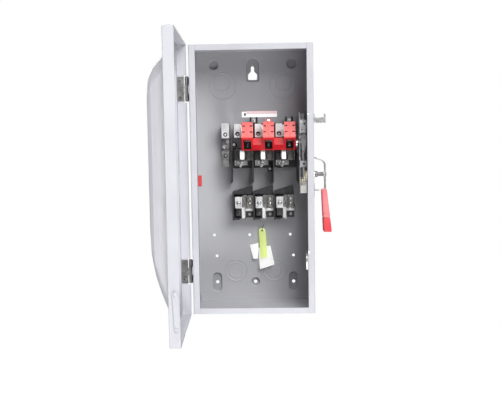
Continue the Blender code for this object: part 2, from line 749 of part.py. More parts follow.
def reach_from(centre, length, bearing):
    """A point at a bearing from straight down, turning towards the front: (depth, height)."""
    return (centre[0] - length * sin(radians(bearing)), centre[1] - length * cos(radians(bearing)))


CRANK_PIN = reach_from(HANDLE_AXIS, CRANK_REACH, CRANK_START)
LINK_TOP = reach_from(ROTOR_AXIS, ROTOR_CRANK_REACH, ROTOR_CRANK_START)


def handle_crank(body, looks):
    outline = capsule(HANDLE_AXIS, CRANK_PIN, 8.0, 4.6, 8)
    item = body.add("handle_crank", prism("X", outline, 99.0, 101.0), looks["yellow_zinc"])
    body.cut(item, cylinder("X", HANDLE_AXIS, SHAFT_RADIUS + PIN_CLEAR, 97.0, 103.0, 16))
    body.join(item, cylinder("X", CRANK_PIN, 2.0, 95.4, 100.0, 12))
    return item


def link_axis():
    """Ends of the drive link's rod: from beside the handle's crank up to beside the rotor's."""
    lower = Vector((LINK_LOW_X, CRANK_PIN[0], CRANK_PIN[1]))
    upper = Vector((LINK_HIGH_X, LINK_TOP[0], LINK_TOP[1]))
    return lower, upper


def along_rod(bm, low_share, high_share, profile_radius, steps):
    """Adds a cylinder on the link's rod between two shares of its length."""
    lower, upper = link_axis()
    direction = (upper - lower).normalized()
    turn = direction.to_track_quat("Z", "Y").to_matrix().to_4x4()
    span = (upper - lower).length
    made = bmesh.ops.create_cone(bm, cap_ends=True, cap_tris=False, segments=steps,
                                 radius1=profile_radius, radius2=profile_radius,
                                 depth=span * (high_share - low_share))
    middle = lower.lerp(upper, (low_share + high_share) / 2)
    bmesh.ops.transform(bm, matrix=Matrix.Translation(middle) @ turn, verts=made["verts"])


def drive_link(body, looks):
    rod = new_mesh()
    along_rod(rod, 0.04, 0.96, ROD_RADIUS, 10)
    item = body.add("drive_link", rod, looks["zinc"])
    eyes = ((CRANK_PIN, LINK_LOW_X, 2.3), (LINK_TOP, LINK_HIGH_X, 2.6))
    for centre, x, _ in eyes:
        body.join(item, cylinder("X", centre, 4.8, x - 1.0, x + 1.0, 14))
    collar = new_mesh()
    along_rod(collar, 0.80, 0.83, SPRING_RADIUS, 12)
    body.join(item, collar)
    for centre, x, bore in eyes:
        body.cut(item, cylinder("X", centre, bore, x - 3.0, x + 3.0, 12))
    return item


def link_spring(body, looks):
    """Sleeve of the compression spring on the link's rod."""
    tube = new_mesh()
    along_rod(tube, 0.24, 0.79, SPRING_RADIUS, 14)
    item = body.add("link_spring", tube, looks["zinc"])
    hole = new_mesh()
    along_rod(hole, 0.20, 0.82, ROD_RADIUS + 0.4, 12)
    body.cut(item, hole)
    return item


def mechanism_frame(body, looks):
    """Side plate beside the poles, with two ears folded across the front and a foot on the back panel."""
    outline = [(40.0, -28.0), (112.0, -28.0), (112.0, 30.0), (104.0, 40.0), (104.0, 96.0), (112.0, 106.0),
               (112.0, 126.0), (60.0, 126.0), (38.0, 112.0), (38.0, 84.0), (54.0, 76.0), (54.0, 40.0),
               (36.0, 34.0), (36.0, 21.0), (52.0, 16.0), (52.0, 4.0), (40.0, -4.0)]
    inner = FRAME_X + FRAME_SHEET
    item = body.add("mechanism_frame", prism("X", outline, FRAME_X, inner), looks["zinc"])
    for front, low, high in ((38.0, 85.5, 110.0), (36.0, 22.3, 34.0)):
        body.join(item, box((FRAME_X + 0.4, front, low), (101.0, front + FRAME_SHEET, high)))
    for low, high in ((108.0, 124.0), (-24.0, 0.0)):
        body.join(item, box((FRAME_X + 0.4, 110.6, low), (100.0, 113.4, high)))
    body.cut(item, cylinder("X", ROTOR_AXIS, 4.8, FRAME_X - 2.0, inner + 2.0, 16))
    body.cut(item, cylinder("Y", (96.0, 28.3), 2.2, 33.0, 41.0, 10))
    body.join(item, cylinder("X", INTERLOCK_PIVOT, 2.0, FRAME_X + 0.5, 93.6, 12))
    return item


def interlock_lever(body, looks):
    """Sprung lever that a shut door pushes back, pivoted on the frame."""
    outline = [(49.5, -12.0), (51.0, -5.5), (44.0, -3.0), (34.0, 2.0), (20.0, 4.0), (15.0, 1.0),
               (16.0, -3.0), (30.0, -4.0), (42.0, -12.0)]
    item = body.add("interlock_lever", prism("X", outline, INTERLOCK_X - 0.8, INTERLOCK_X + 0.8),
                    looks["yellow_zinc"])
    body.cut(item, cylinder("X", INTERLOCK_PIVOT, 2.3, 89.0, 95.0, 12))
    return item


def interlock_block(body, looks):
    """White guide block below and beside the lever."""
    item = body.add("interlock_block", box((90.3, 38.0, -27.0), (101.0, 60.0, -13.0)), looks["nylon"])
    body.join(item, box((94.2, 51.0, -14.0), (101.6, 64.0, -2.0)))
    bevel(item, 0.8)
    return item


# ------------------------------------------------------------------ rotor

def rotor_point(forward, up):
    """A point drawn with the blades shut, from the rotor axis: (depth, height)."""
    return (ROTOR_DEPTH + forward, ROTOR_HEIGHT + up)


def rotor_box(x_low, x_high, forward_low, forward_high, up_low, up_high):
    low = rotor_point(forward_low, up_low)
    high = rotor_point(forward_high, up_high)
    return (x_low, low[0], low[1]), (x_high, high[0], high[1])


def blade_carrier(body, looks):
    """Red crossbar with a hood over each blade, open at the back and below."""
    front, top = RIDGE
    bar = CROSSBAR
    half = HOOD_WIDTH / 2
    crossbar = box(*rotor_box(POLES[0] - half - 1.0, POLES[-1] + half + 0.7, *bar))
    item = body.add("blade_carrier", crossbar, looks["red"], smooth=False)
    hoods, upper_hollows, lower_hollows, openings = (new_mesh() for _ in range(4))
    for pole in POLES:
        add_box(hoods, *rotor_box(pole - half, pole + half, front - 0.6, front + HOOD_DEEP,
                                  top - HOOD_TALL, top))
        inner = half - HOOD_WALL
        add_box(upper_hollows, *rotor_box(pole - inner, pole + inner, front + HOOD_WALL,
                                          front + HOOD_DEEP + 5.0, bar[3] + 0.8, top - HOOD_WALL))
        add_box(lower_hollows, *rotor_box(pole - inner, pole + inner, bar[1] + 1.2,
                                          front + HOOD_DEEP + 4.0, top - HOOD_TALL - 5.0, bar[3] + 2.0))
        add_box(openings, *rotor_box(pole - 7.4, pole + 7.2, front - 6.0, bar[1] + 2.4, 11.6, 43.6))
        for side in (-1, 1):
            for forward in (12.4, 26.2):
                spot = pole + side * 7.0
                slot = rotor_box(spot - 2.5, spot + 2.5, front + forward, front + forward + 2.8,
                                 top - 4.0, top + 4.0)
                add_box(openings, *slot)
    body.join(item, hoods)
    for shape in (upper_hollows, lower_hollows, openings):
        body.cut(item, shape)
    return item


def blade(body, looks, name, pole):
    """Switch blade, drawn upright, on a pin that turns in the hinge posts."""
    outline = [(-5.6, -4.0), (5.6, -4.0), (6.0, 30.0), (4.0, 39.0), (-4.0, 39.0), (-6.0, 30.0)]
    points = [rotor_point(forward, up) for forward, up in outline]
    item = body.add(name, prism("X", points, pole - BLADE / 2, pole + BLADE / 2), looks["tin"])
    body.join(item, cylinder("X", ROTOR_AXIS, 2.0, pole - 5.2, pole + 5.2, 12))
    return item


def rotor_drive(body, looks):
    """Side arm, shaft and crank that turn the crossbar from the mechanism."""
    bar = CROSSBAR
    corner = rotor_point((bar[0] + bar[1]) / 2, (bar[2] + bar[3]) / 2)
    arm = prism("X", capsule(ROTOR_AXIS, corner, 7.0, 7.0, 8), 82.4, 84.6)
    item = body.add("rotor_drive", arm, looks["zinc"])
    body.join(item, cylinder("X", ROTOR_AXIS, 4.0, 83.5, 99.4, 14))
    start = reach_from(ROTOR_AXIS, ROTOR_CRANK_REACH, ROTOR_CRANK_START + ROTOR_OPEN)
    body.join(item, prism("X", capsule(ROTOR_AXIS, start, 7.0, 4.8, 8), 96.4, 98.4))
    body.join(item, cylinder("X", start, 2.0, 96.05, 97.0, 12))
    return item


# ------------------------------------------------------------------ poles

def line_base(body, looks):
    """Moulded base under the line side, with a pair of prongs above two of its poles."""
    left, right = POLES[0] - LUG_SIDE, POLES[-1] + LEAD_SIDE
    step = POLES[0] - LEAD_SIDE
    outline = [(left, 19.0), (right, 19.0), (right, 106.4), (step, 106.4), (step, 58.0), (left, 58.0)]
    item = body.add("line_base", prism("Y", outline, BASE_FRONT, ON_BACK), looks["black"])
    prongs = new_mesh()
    for middle in PRONGS:
        add_box(prongs, (middle - 7.6, 101.0, 105.4), (middle + 7.6, BASE_FRONT + 1.0, 109.0))
        for side in (-1, 1):
            edges = sorted((middle + side * 4.2, middle + side * 7.6))
            add_box(prongs, (edges[0], 99.4, 105.4), (edges[1], BASE_FRONT + 1.0, 118.5))
    body.join(item, prongs)
    return item


def barrier(body, looks, name, x, top):
    """Thin sheet between two poles: in front of the base above, down to the back panel below it."""
    front, step = 62.0, 18.6
    outline = [(front, -8.0), (ON_BACK, -8.0), (ON_BACK, step), (STRAP_BACK, step), (STRAP_BACK, top),
               (front, top)]
    return body.add(name, prism("X", outline, x, x + 1.4), looks["sheet"])


def line_terminal(body, looks, name, pole):
    """Line lug, bus strap and the jaw that the blade enters."""
    lug_low, lug_high = pole - 26.4, pole - 13.8
    middle = (lug_low + lug_high) / 2
    strap = box((lug_low, STRAP_FRONT, 80.0), (pole + 6.0, STRAP_BACK, 103.0))
    item = body.add(name, strap, looks["aluminium"])
    body.join(item, box((lug_low, 80.0, 79.0), (lug_high, INTO_STRAP, 105.0)))
    leaves = new_mesh()
    for side in (-1, 1):
        edges = sorted((pole + side * 2.1, pole + side * 3.7))
        add_box(leaves, (edges[0], 80.4, 86.0), (edges[1], INTO_STRAP, 102.0))
    body.join(item, leaves)
    body.cut(item, cylinder("Z", (middle, 93.0), 4.6, 70.0, 110.0, 14))
    body.cut(item, cylinder("Y", (middle, 86.0), 4.4, 76.0, 90.0, 14))
    return item


def add_clip_leaves(bm, pole, front, low, high):
    """The two leaves that grip one end of a fuse."""
    clip = pole + FUSE_SHIFT
    for side in (-1, 1):
        edges = sorted((clip + side * FUSE_GRIP, clip + side * (FUSE_GRIP + LEAF)))
        add_box(bm, (edges[0], front, low), (edges[1], INTO_STRAP, high))


def fuse_bus(body, looks, name, pole):
    """Hinge posts for the blade, strap, screwed block and the upper fuse clip, on the base."""
    outline = [(pole - 25.0, 24.6), (pole - 1.4, 24.6), (pole - 1.4, 34.0), (pole + 7.6, 34.0),
               (pole + 7.6, 74.0), (pole - 12.0, 74.0), (pole - 12.0, 56.0), (pole - 25.0, 56.0)]
    item = body.add(name, prism("Y", outline, STRAP_FRONT, STRAP_BACK), looks["tin"])
    posts = new_mesh()
    for side in (-1, 1):
        edges = sorted((pole + side * 2.1, pole + side * 4.3))
        add_box(posts, (edges[0], 79.0, 60.0), (edges[1], INTO_STRAP, 74.6))
    add_clip_leaves(posts, pole, 80.0, 35.0, 54.0)
    add_box(posts, (pole - 15.6, 74.0, 36.4), (pole - 7.0, 76.4, 54.6))
    add_box(posts, (pole - 12.8, 75.4, 42.0), (pole - 9.8, INTO_STRAP, 54.6))
    add_box(posts, (pole - 24.6, 86.0, 25.2), (pole - 14.4, INTO_STRAP, 36.4))
    add_box(posts, (pole - 13.6, 82.0, 25.2), (pole - 3.4, INTO_STRAP, 35.6))
    body.join(item, posts)
    body.cut(item, cylinder("X", ROTOR_AXIS, 2.35, pole - 6.0, pole + 6.0, 12))
    return item


def load_base(body, looks, name, pole):
    """Tray for one fuse's lower end: a tall left wall, a floor cut away below the clip and a wedge on top."""
    left, right = pole - 31.6, pole + 7.4
    floor = [(left, -81.0), (pole - 15.0, -81.0), (pole - 15.0, -73.0), (right, -73.0), (right, -30.0),
             (left, -30.0)]
    item = body.add(name, prism("Y", floor, BASE_FRONT, ON_BACK), looks["black"])
    body.join(item, box((left, 72.0, -81.0), (left + 2.6, BASE_FRONT + 1.0, -26.0)))
    body.join(item, box((left + 1.0, 84.0, -81.0), (pole - 18.6, BASE_FRONT + 1.0, -78.0)))
    wedge = [(left, -31.0), (right, -31.0), (right, -15.0), (left, -26.0)]
    body.join(item, prism("Y", wedge, 84.0, BASE_FRONT + 1.0))
    return item


def load_clip(body, looks, name, pole):
    """Lower fuse clip with its strap, side tab and stop."""
    strap = box((pole - 12.4, STRAP_FRONT, -72.6), (pole + 7.2, STRAP_BACK, -34.0))
    item = body.add(name, strap, looks["tin"])
    leaves = new_mesh()
    add_clip_leaves(leaves, pole, 76.0, -58.0, -34.6)
    add_box(leaves, (pole - 12.4, 80.0, -79.6), (pole - 7.0, INTO_STRAP, -58.6))
    add_box(leaves, (pole - 5.4, 86.0, -72.0), (pole + 7.0, INTO_STRAP, -62.0))
    body.join(item, leaves)
    return item


def load_lug(body, looks, name, pole):
    """Aluminium wire lug on the left of the tray, its screw facing forward."""
    low, high = pole - 27.4, pole - 12.8
    middle = (low + high) / 2
    item = body.add(name, box((low, 77.0, -58.0), (high, STRAP_BACK, -36.0)), looks["aluminium"])
    bevel(item, 0.8)
    body.cut(item, cylinder("Z", (middle, 92.0), 5.0, -60.0, -32.0, 14))
    body.cut(item, cylinder("Y", (middle, -48.0), 4.2, 74.0, 84.0, 14))
    body.join(item, lathe("Y", (middle, -48.0), [(90.0, 3.6), (79.6, 3.6), (79.0, 3.0)], 14))
    return item


# ------------------------------------------------------------------ neutral

def neutral_base(body, looks):
    block = box((NEUTRAL_X - 7.4, 98.0, 26.0), (NEUTRAL_X + 7.4, ON_BACK, 105.0))
    item = body.add("neutral_base", block, looks["black"])
    bevel(item, 1.0)
    return item


def neutral_bar(body, looks):
    item = body.add("neutral_bar", box((NEUTRAL_X - 6.4, 92.0, 24.0), (NEUTRAL_X + 6.4, 98.0 - GAP, 106.0)),
                    looks["aluminium"])
    for spot in ((NEUTRAL_X - 2.6, 61.4), (NEUTRAL_X + 2.6, 70.6)):
        body.join(item, lathe("Y", spot, [(93.0, 3.6), (89.2, 3.6), (88.4, 2.8)], 12))
    return item


def neutral_lug(body, looks, name, low, high, screw):
    """Box lug clamped on the neutral bar, with its wire way upright and its screw in front."""
    half = 7.7
    item = body.add(name, box((NEUTRAL_X - half, 71.0, low), (NEUTRAL_X + half, 92.0 - GAP, high)),
                    looks["aluminium"])
    bevel(item, 0.8)
    body.cut(item, cylinder("Z", (NEUTRAL_X, 83.0), 5.2, low - 3.0, high + 3.0, 14))
    body.cut(item, cylinder("Y", (NEUTRAL_X, screw), 4.2, 68.0, 79.0, 14))
    body.join(item, lathe("Y", (NEUTRAL_X, screw), [(81.0, 3.6), (74.6, 3.6), (74.0, 3.0)], 14))
    return item


# ------------------------------------------------------------------ labels and tags

def labels_and_tags(body, looks):
    face = ON_BACK - 0.5
    sheets = {
        "rating_label": ("label", face, [(-22.0, 118.6), (47.0, 118.6), (47.0, 129.6), (-22.0, 129.6)]),
        "side_label": ("red_label", face, [(-111.0, -16.5), (-104.0, -16.5), (-104.0, 5.0), (-111.0, 5.0)]),
        "tag_folded": ("card", 113.6, [(-9.0, -133.4), (-1.6, -161.0), (7.4, -160.4), (8.2, -129.4)]),
        "tag_card": ("card", 112.4, [(8.0, -139.1), (11.3, -180.5), (39.7, -170.7), (31.4, -134.6)]),
        "tag_strip": ("tag", 111.4, [(8.0, -104.0), (11.6, -159.4), (25.4, -157.0), (23.4, -103.0)]),
    }
    for name, (look, front, outline) in sheets.items():
        body.add(name, prism("Y", outline, front, front + 0.5), looks[look], smooth=False)


# ------------------------------------------------------------------ assembly

def build():
    clear_scene()
    looks = make_materials()
    root = Body("enclosure", (0.0, 0.0, 0.0))
    door = Body("door", (HINGE_X, HINGE_DEPTH, 0.0), root, "Z", -DOOR_OPEN)
    latch = Body("latch", (HALF_WIDTH + DOOR_OVERHANG, *LATCH_PIVOT), door)
    handle = Body("handle", (ARM_X, *HANDLE_AXIS), root)
    link = Body("link", (LINK_LOW_X, *CRANK_PIN), handle)
    rotor = Body("rotor", (POLES[1], *ROTOR_AXIS), root, "X", ROTOR_OPEN)
    interlock = Body("interlock", (INTERLOCK_X, *INTERLOCK_PIVOT), root)

    enclosure_wrap(root, looks)
    end_wall(root, looks, "end_wall_top", 1)
    end_wall(root, looks, "end_wall_bottom", -1)
    door_panel(door, looks)
    for place, height in zip(("upper", "lower"), HINGE_HEIGHTS):
        hinge_box_leaf(root, looks, f"hinge_box_leaf_{place}", height)
        hinge_door_leaf(door, looks, f"hinge_door_leaf_{place}", height)
        hinge_pin(root, looks, f"hinge_pin_{place}", height)
    latch_lever(latch, looks)
    door_catch(root, looks)

    hasp_bracket(root, looks)
    lock_plate(root, looks)
    shaft_bushing(root, looks)
    handle_shaft(handle, looks)
    handle_arm(handle, looks)
    handle_grip(handle, looks)
    handle_crank(handle, looks)
    drive_link(link, looks)
    link_spring(link, looks)
    mechanism_frame(root, looks)
    interlock_lever(interlock, looks)
    interlock_block(root, looks)

    blade_carrier(rotor, looks)
    rotor_drive(rotor, looks)
    line_base(root, looks)
    barrier(root, looks, "barrier_1", POLES[0] - 33.0, 54.0)
    for number, pole in enumerate(POLES, start=1):
        gap_right = 8.3 if number < len(POLES) else 14.2
        barrier(root, looks, f"barrier_{number + 1}", pole + gap_right, 48.0)
        line_terminal(root, looks, f"line_terminal_{number}", pole)
        fuse_bus(root, looks, f"fuse_bus_{number}", pole)
        blade(rotor, looks, f"blade_{number}", pole)
        load_base(root, looks, f"load_base_{number}", pole)
        load_clip(root, looks, f"load_clip_{number}", pole)
        load_lug(root, looks, f"load_lug_{number}", pole)

    neutral_base(root, looks)
    neutral_bar(root, looks)
    neutral_lug(root, looks, "neutral_lug_upper", 78.0, 107.0, 85.0)
    neutral_lug(root, looks, "neutral_lug_lower", 24.0, 52.0, 44.5)
    labels_and_tags(root, looks)


build()
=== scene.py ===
"""Looks of a fusible safety switch with its door open: materials, fine hardware, studio light and camera."""

import json
from math import cos, pi, radians, sin

import bmesh
import bpy
from mathutils import Matrix, Vector


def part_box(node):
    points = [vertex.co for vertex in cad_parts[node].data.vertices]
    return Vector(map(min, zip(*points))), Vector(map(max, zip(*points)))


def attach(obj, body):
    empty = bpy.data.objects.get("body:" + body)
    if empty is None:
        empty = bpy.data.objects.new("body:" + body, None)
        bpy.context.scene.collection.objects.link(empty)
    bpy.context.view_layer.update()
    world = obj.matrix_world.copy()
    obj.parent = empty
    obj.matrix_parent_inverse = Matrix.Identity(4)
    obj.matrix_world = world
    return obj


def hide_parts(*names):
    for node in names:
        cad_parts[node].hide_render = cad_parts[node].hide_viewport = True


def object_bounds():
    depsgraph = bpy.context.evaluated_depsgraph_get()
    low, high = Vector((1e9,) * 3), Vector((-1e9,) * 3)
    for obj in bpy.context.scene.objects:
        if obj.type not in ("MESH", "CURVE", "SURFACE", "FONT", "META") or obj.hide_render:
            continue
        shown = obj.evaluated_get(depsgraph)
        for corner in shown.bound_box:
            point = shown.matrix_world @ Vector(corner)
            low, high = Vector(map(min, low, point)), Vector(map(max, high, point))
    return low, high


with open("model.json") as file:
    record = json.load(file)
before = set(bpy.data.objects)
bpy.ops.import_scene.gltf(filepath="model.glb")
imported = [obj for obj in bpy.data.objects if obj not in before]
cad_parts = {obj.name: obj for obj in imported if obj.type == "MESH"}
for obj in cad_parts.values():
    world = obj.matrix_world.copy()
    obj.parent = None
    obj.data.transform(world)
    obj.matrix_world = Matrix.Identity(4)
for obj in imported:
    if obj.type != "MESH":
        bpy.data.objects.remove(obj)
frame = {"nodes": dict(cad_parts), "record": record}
CAD_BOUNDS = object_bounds()

MM = 0.001
SHARP_ANGLE = 38.0         # faces that meet at more than this, in degrees, keep a crisp edge
PAPER_THICK = 0.35
LUG_SIDE = 20.1            # from a pole's middle to the middle of its wire lug
CLIP_SIDE = 1.6            # from a pole's middle to the middle of its fuse clips
NEUTRAL_X = -52.8
CARRIER_FRONT = -24.0      # of the red carrier's hoods, from the rotor's axis, when the blades are shut
CARRIER_TOP = 50.0
BOSS_PLACE = (-37.6, 65.0)
EYELET_PLACE = (14.7, -107.4)
LABEL_BORDER = 0.5
WRAP_LOW, WRAP_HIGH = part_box("enclosure_wrap")
FRONT = WRAP_LOW.y
MIDDLE = (WRAP_LOW.z + WRAP_HIGH.z) / 2
POLES = [sum(corner.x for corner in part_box(f"blade_{n}")) / 2 / MM for n in (1, 2, 3)]


def at(x, depth, height):
    """A point in millimetres from the centre of the enclosure's front opening, in the row frame."""
    return Vector((x * MM, FRONT + depth * MM, MIDDLE + height * MM))


# ------------------------------------------------------------------ material nodes

class Tree:
    """A material's node tree, with one short call for each kind of node."""

    def __init__(self, name):
        self.material = bpy.data.materials.new(name)
        self.material.use_nodes = True
        self.nodes = self.material.node_tree.nodes
        self.links = self.material.node_tree.links
        self.shader = self.nodes["Principled BSDF"]
        self.place = self.nodes.new("ShaderNodeTexCoord").outputs["Object"]

    def wire(self, source, target):
        if isinstance(source, bpy.types.NodeSocket):
            self.links.new(source, target)
        else:
            target.default_value = source

    def noise(self, scale, detail=3.0, roughness=0.55, stretch=(1.0, 1.0, 1.0)):
        """Cloudy variation from 0 to 1; scale is in features a metre."""
        place = self.place
        if stretch != (1.0, 1.0, 1.0):
            mapping = self.nodes.new("ShaderNodeMapping")
            self.wire(place, mapping.inputs["Vector"])
            mapping.inputs["Scale"].default_value = stretch
            place = mapping.outputs["Vector"]
        node = self.nodes.new("ShaderNodeTexNoise")
        self.wire(place, node.inputs["Vector"])
        node.inputs["Scale"].default_value = scale
        node.inputs["Detail"].default_value = detail
        node.inputs["Roughness"].default_value = roughness
        return node.outputs["Fac"]

    def spread(self, factor, low, high, start=0.3, end=0.7):
        """Maps the middle of a factor's range to low..high."""
        node = self.nodes.new("ShaderNodeMapRange")
        self.wire(factor, node.inputs["Value"])
        for socket, value in (("From Min", start), ("From Max", end), ("To Min", low), ("To Max", high)):
            node.inputs[socket].default_value = value
        return node.outputs["Result"]

    def mix(self, factor, first, second):
        node = self.nodes.new("ShaderNodeMix")
        node.data_type = "RGBA"
        self.wire(factor, node.inputs[0])
        for socket, colour in ((node.inputs[6], first), (node.inputs[7], second)):
            self.wire((*colour, 1.0) if isinstance(colour, tuple) else colour, socket)
        return node.outputs[2]

    def maths(self, operation, first, second=0.0):
        node = self.nodes.new("ShaderNodeMath")
        node.operation = operation
        self.wire(first, node.inputs[0])
        self.wire(second, node.inputs[1])
        return node.outputs[0]

    def axis(self, name):
        """One coordinate of the point, in metres of the row frame."""
        node = self.nodes.new("ShaderNodeSeparateXYZ")
        self.wire(self.place, node.inputs[0])
        return node.outputs[name]

    def relief(self, layers, edge=0.0):
        """Bumps from (height, distance in mm) pairs, on edges rounded to a radius in mm."""
        normal = None
        if edge:
            node = self.nodes.new("ShaderNodeBevel")
            node.samples = 6
            node.inputs["Radius"].default_value = edge * MM
            normal = node.outputs["Normal"]
        for height, distance in layers:
            node = self.nodes.new("ShaderNodeBump")
            node.inputs["Distance"].default_value = distance * MM
            self.wire(height, node.inputs["Height"])
            if normal is not None:
                self.wire(normal, node.inputs["Normal"])
            normal = node.outputs["Normal"]
        self.wire(normal, self.shader.inputs["Normal"])

    def finish(self, colour, roughness, metallic=0.0, **sockets):
        self.wire((*colour, 1.0) if isinstance(colour, tuple) else colour, self.shader.inputs["Base Color"])
        self.wire(roughness, self.shader.inputs["Roughness"])
        self.shader.inputs["Metallic"].default_value = metallic
        for name, value in sockets.items():
            self.shader.inputs[name.replace("_", " ").title().replace("Ior", "IOR")].default_value = value
        return self.material


# The grey of the painted shade inside the box.
INSIDE_SHADE_COLOUR = (0.29, 0.292, 0.295)


def painted_steel():
    """Powder coat: faint cloudiness, orange peel and a few dusty marks. Inside the box it is
    darkened with depth, painted shade for the shade of the walls, and the back with its
    recesses is darkened as painted shade too."""
    tree = Tree("enclosure_paint")
    cloud = tree.noise(9.0, 4.0)
    base = tree.mix(tree.spread(cloud, 0.0, 1.0), (0.505, 0.505, 0.545), (0.55, 0.55, 0.59))
    marks = tree.spread(tree.noise(70.0, 8.0, 0.7), 0.0, 0.10, 0.56, 0.80)
    colour = tree.mix(marks, base, (0.36, 0.36, 0.37))
    # Painted shade: inside the box the colour darkens with depth behind the front lip, for the shade of the
    # walls.
    across = tree.spread(tree.maths("ABSOLUTE", tree.axis("X")), 1.0, 0.0, 111.4 * MM, 111.9 * MM)
    tall = tree.maths("ABSOLUTE", tree.maths("SUBTRACT", tree.axis("Z"), MIDDLE))
    inside = tree.maths("MULTIPLY", across, tree.spread(tall, 1.0, 0.0, 245.9 * MM, 246.4 * MM))
    deep = tree.spread(tree.axis("Y"), 0.0, 0.45, FRONT + 6.0 * MM, FRONT + 30.0 * MM)
    colour = tree.mix(tree.maths("MULTIPLY", inside, deep), colour, INSIDE_SHADE_COLOUR)
    # Painted shade: in the last few millimetres of depth, the feet's recesses and the back face, the colour
    # is darkened.
    back_and_recess_shade = tree.spread(tree.axis("Y"), 0.0, 0.5, WRAP_HIGH.y - 5.0 * MM, WRAP_HIGH.y - 2.0 * MM)
    colour = tree.mix(back_and_recess_shade, colour, (0.24, 0.24, 0.245))
    rough = tree.spread(tree.noise(40.0, 5.0), 0.34, 0.46)
    tree.relief([(tree.noise(620.0, 2.0), 0.05), (tree.noise(60.0, 2.0), 0.10)], edge=0.5)
    return tree.finish(colour, rough)


def moulded_black():
    tree = Tree("black_moulding")
    dust = tree.spread(tree.noise(160.0, 6.0, 0.7), 0.0, 0.5, 0.45, 0.75)
    colour = tree.mix(dust, (0.018, 0.018, 0.02), (0.055, 0.054, 0.052))
    rough = tree.spread(tree.noise(90.0), 0.38, 0.58)
    tree.relief([(tree.noise(1500.0, 2.0), 0.06)], edge=0.5)
    return tree.finish(colour, rough)


def barrier_sheet():
    tree = Tree("barrier_sheet")
    fibre = tree.noise(500.0, 4.0, 0.6, (1.0, 1.0, 0.12))
    colour = tree.mix(tree.spread(fibre, 0.0, 1.0), (0.022, 0.022, 0.023), (0.045, 0.044, 0.043))
    tree.relief([(fibre, 0.08)])
    return tree.finish(colour, tree.spread(fibre, 0.5, 0.7))


def moulded_red(name, dark, light, low=0.26, high=0.40, top_sheen_colour=None):
    """Moulding with flow marks and a fine satin grain; its upper part may be given a paler colour, a painted
    highlight for the sheen of the light on it.
    """
    tree = Tree(name)
    flow = tree.noise(55.0, 5.0, 0.6, (1.0, 1.0, 0.45))
    colour = tree.mix(tree.spread(flow, 0.0, 1.0), dark, light)
    if top_sheen_colour:
        # Painted highlight: above this height the colour turns paler, the sheen of the light on the tops.
        start = MIDDLE + 77.0 * MM
        colour = tree.mix(tree.spread(tree.axis("Z"), 0.0, 1.0, start, start + 3.0 * MM), colour, top_sheen_colour)
    rough = tree.spread(tree.noise(130.0, 4.0), low, high)
    tree.relief([(tree.noise(900.0, 2.0), 0.03)], edge=0.5)
    return tree.finish(colour, rough, specular_ior_level=0.3)


def plated(name, dark, light, low, high, grain=0.0, metallic=1.0):
    """Electroplated metal: soft mottling, rolled grain and tiny pits."""
    tree = Tree(name)
    mottle = tree.noise(120.0, 5.0, 0.6)
    colour = tree.mix(tree.spread(mottle, 0.0, 1.0), dark, light)
    rough = tree.spread(tree.noise(70.0, 6.0, 0.65), low, high)
    layers = [(tree.noise(1300.0, 2.0), 0.03)]
    if grain:
        layers.append((tree.noise(2600.0, 2.0, 0.5, (1.0, 1.0, 0.03)), grain))
    tree.relief(layers, edge=0.3)
    return tree.finish(colour, rough, metallic=metallic)


def paper(name, dark, light, rough=0.55, glow=0.25):
    """Fibrous paper; glow is a little emission that lifts its tone."""
    tree = Tree(name)
    fibre = tree.noise(700.0, 2.0, 0.5)
    colour = tree.mix(tree.spread(fibre, 0.0, 1.0), dark, light)
    tree.relief([(fibre, 0.012)])
    tree.wire(colour, tree.shader.inputs["Emission Color"])
    return tree.finish(colour, rough, emission_strength=glow)


def nylon():
    tree = Tree("white_nylon")
    haze = tree.noise(80.0, 4.0)
    colour = tree.mix(tree.spread(haze, 0.0, 1.0), (0.86, 0.85, 0.80), (0.94, 0.93, 0.89))
    tree.relief([(tree.noise(1100.0, 2.0), 0.03)], edge=0.5)
    # The emission is painted light that lifts the nylon's tone; the part is no lamp.
    return tree.finish(colour, tree.spread(haze, 0.32, 0.44), subsurface_weight=0.08,
                       emission_color=(0.94, 0.93, 0.88, 1.0), emission_strength=0.22)


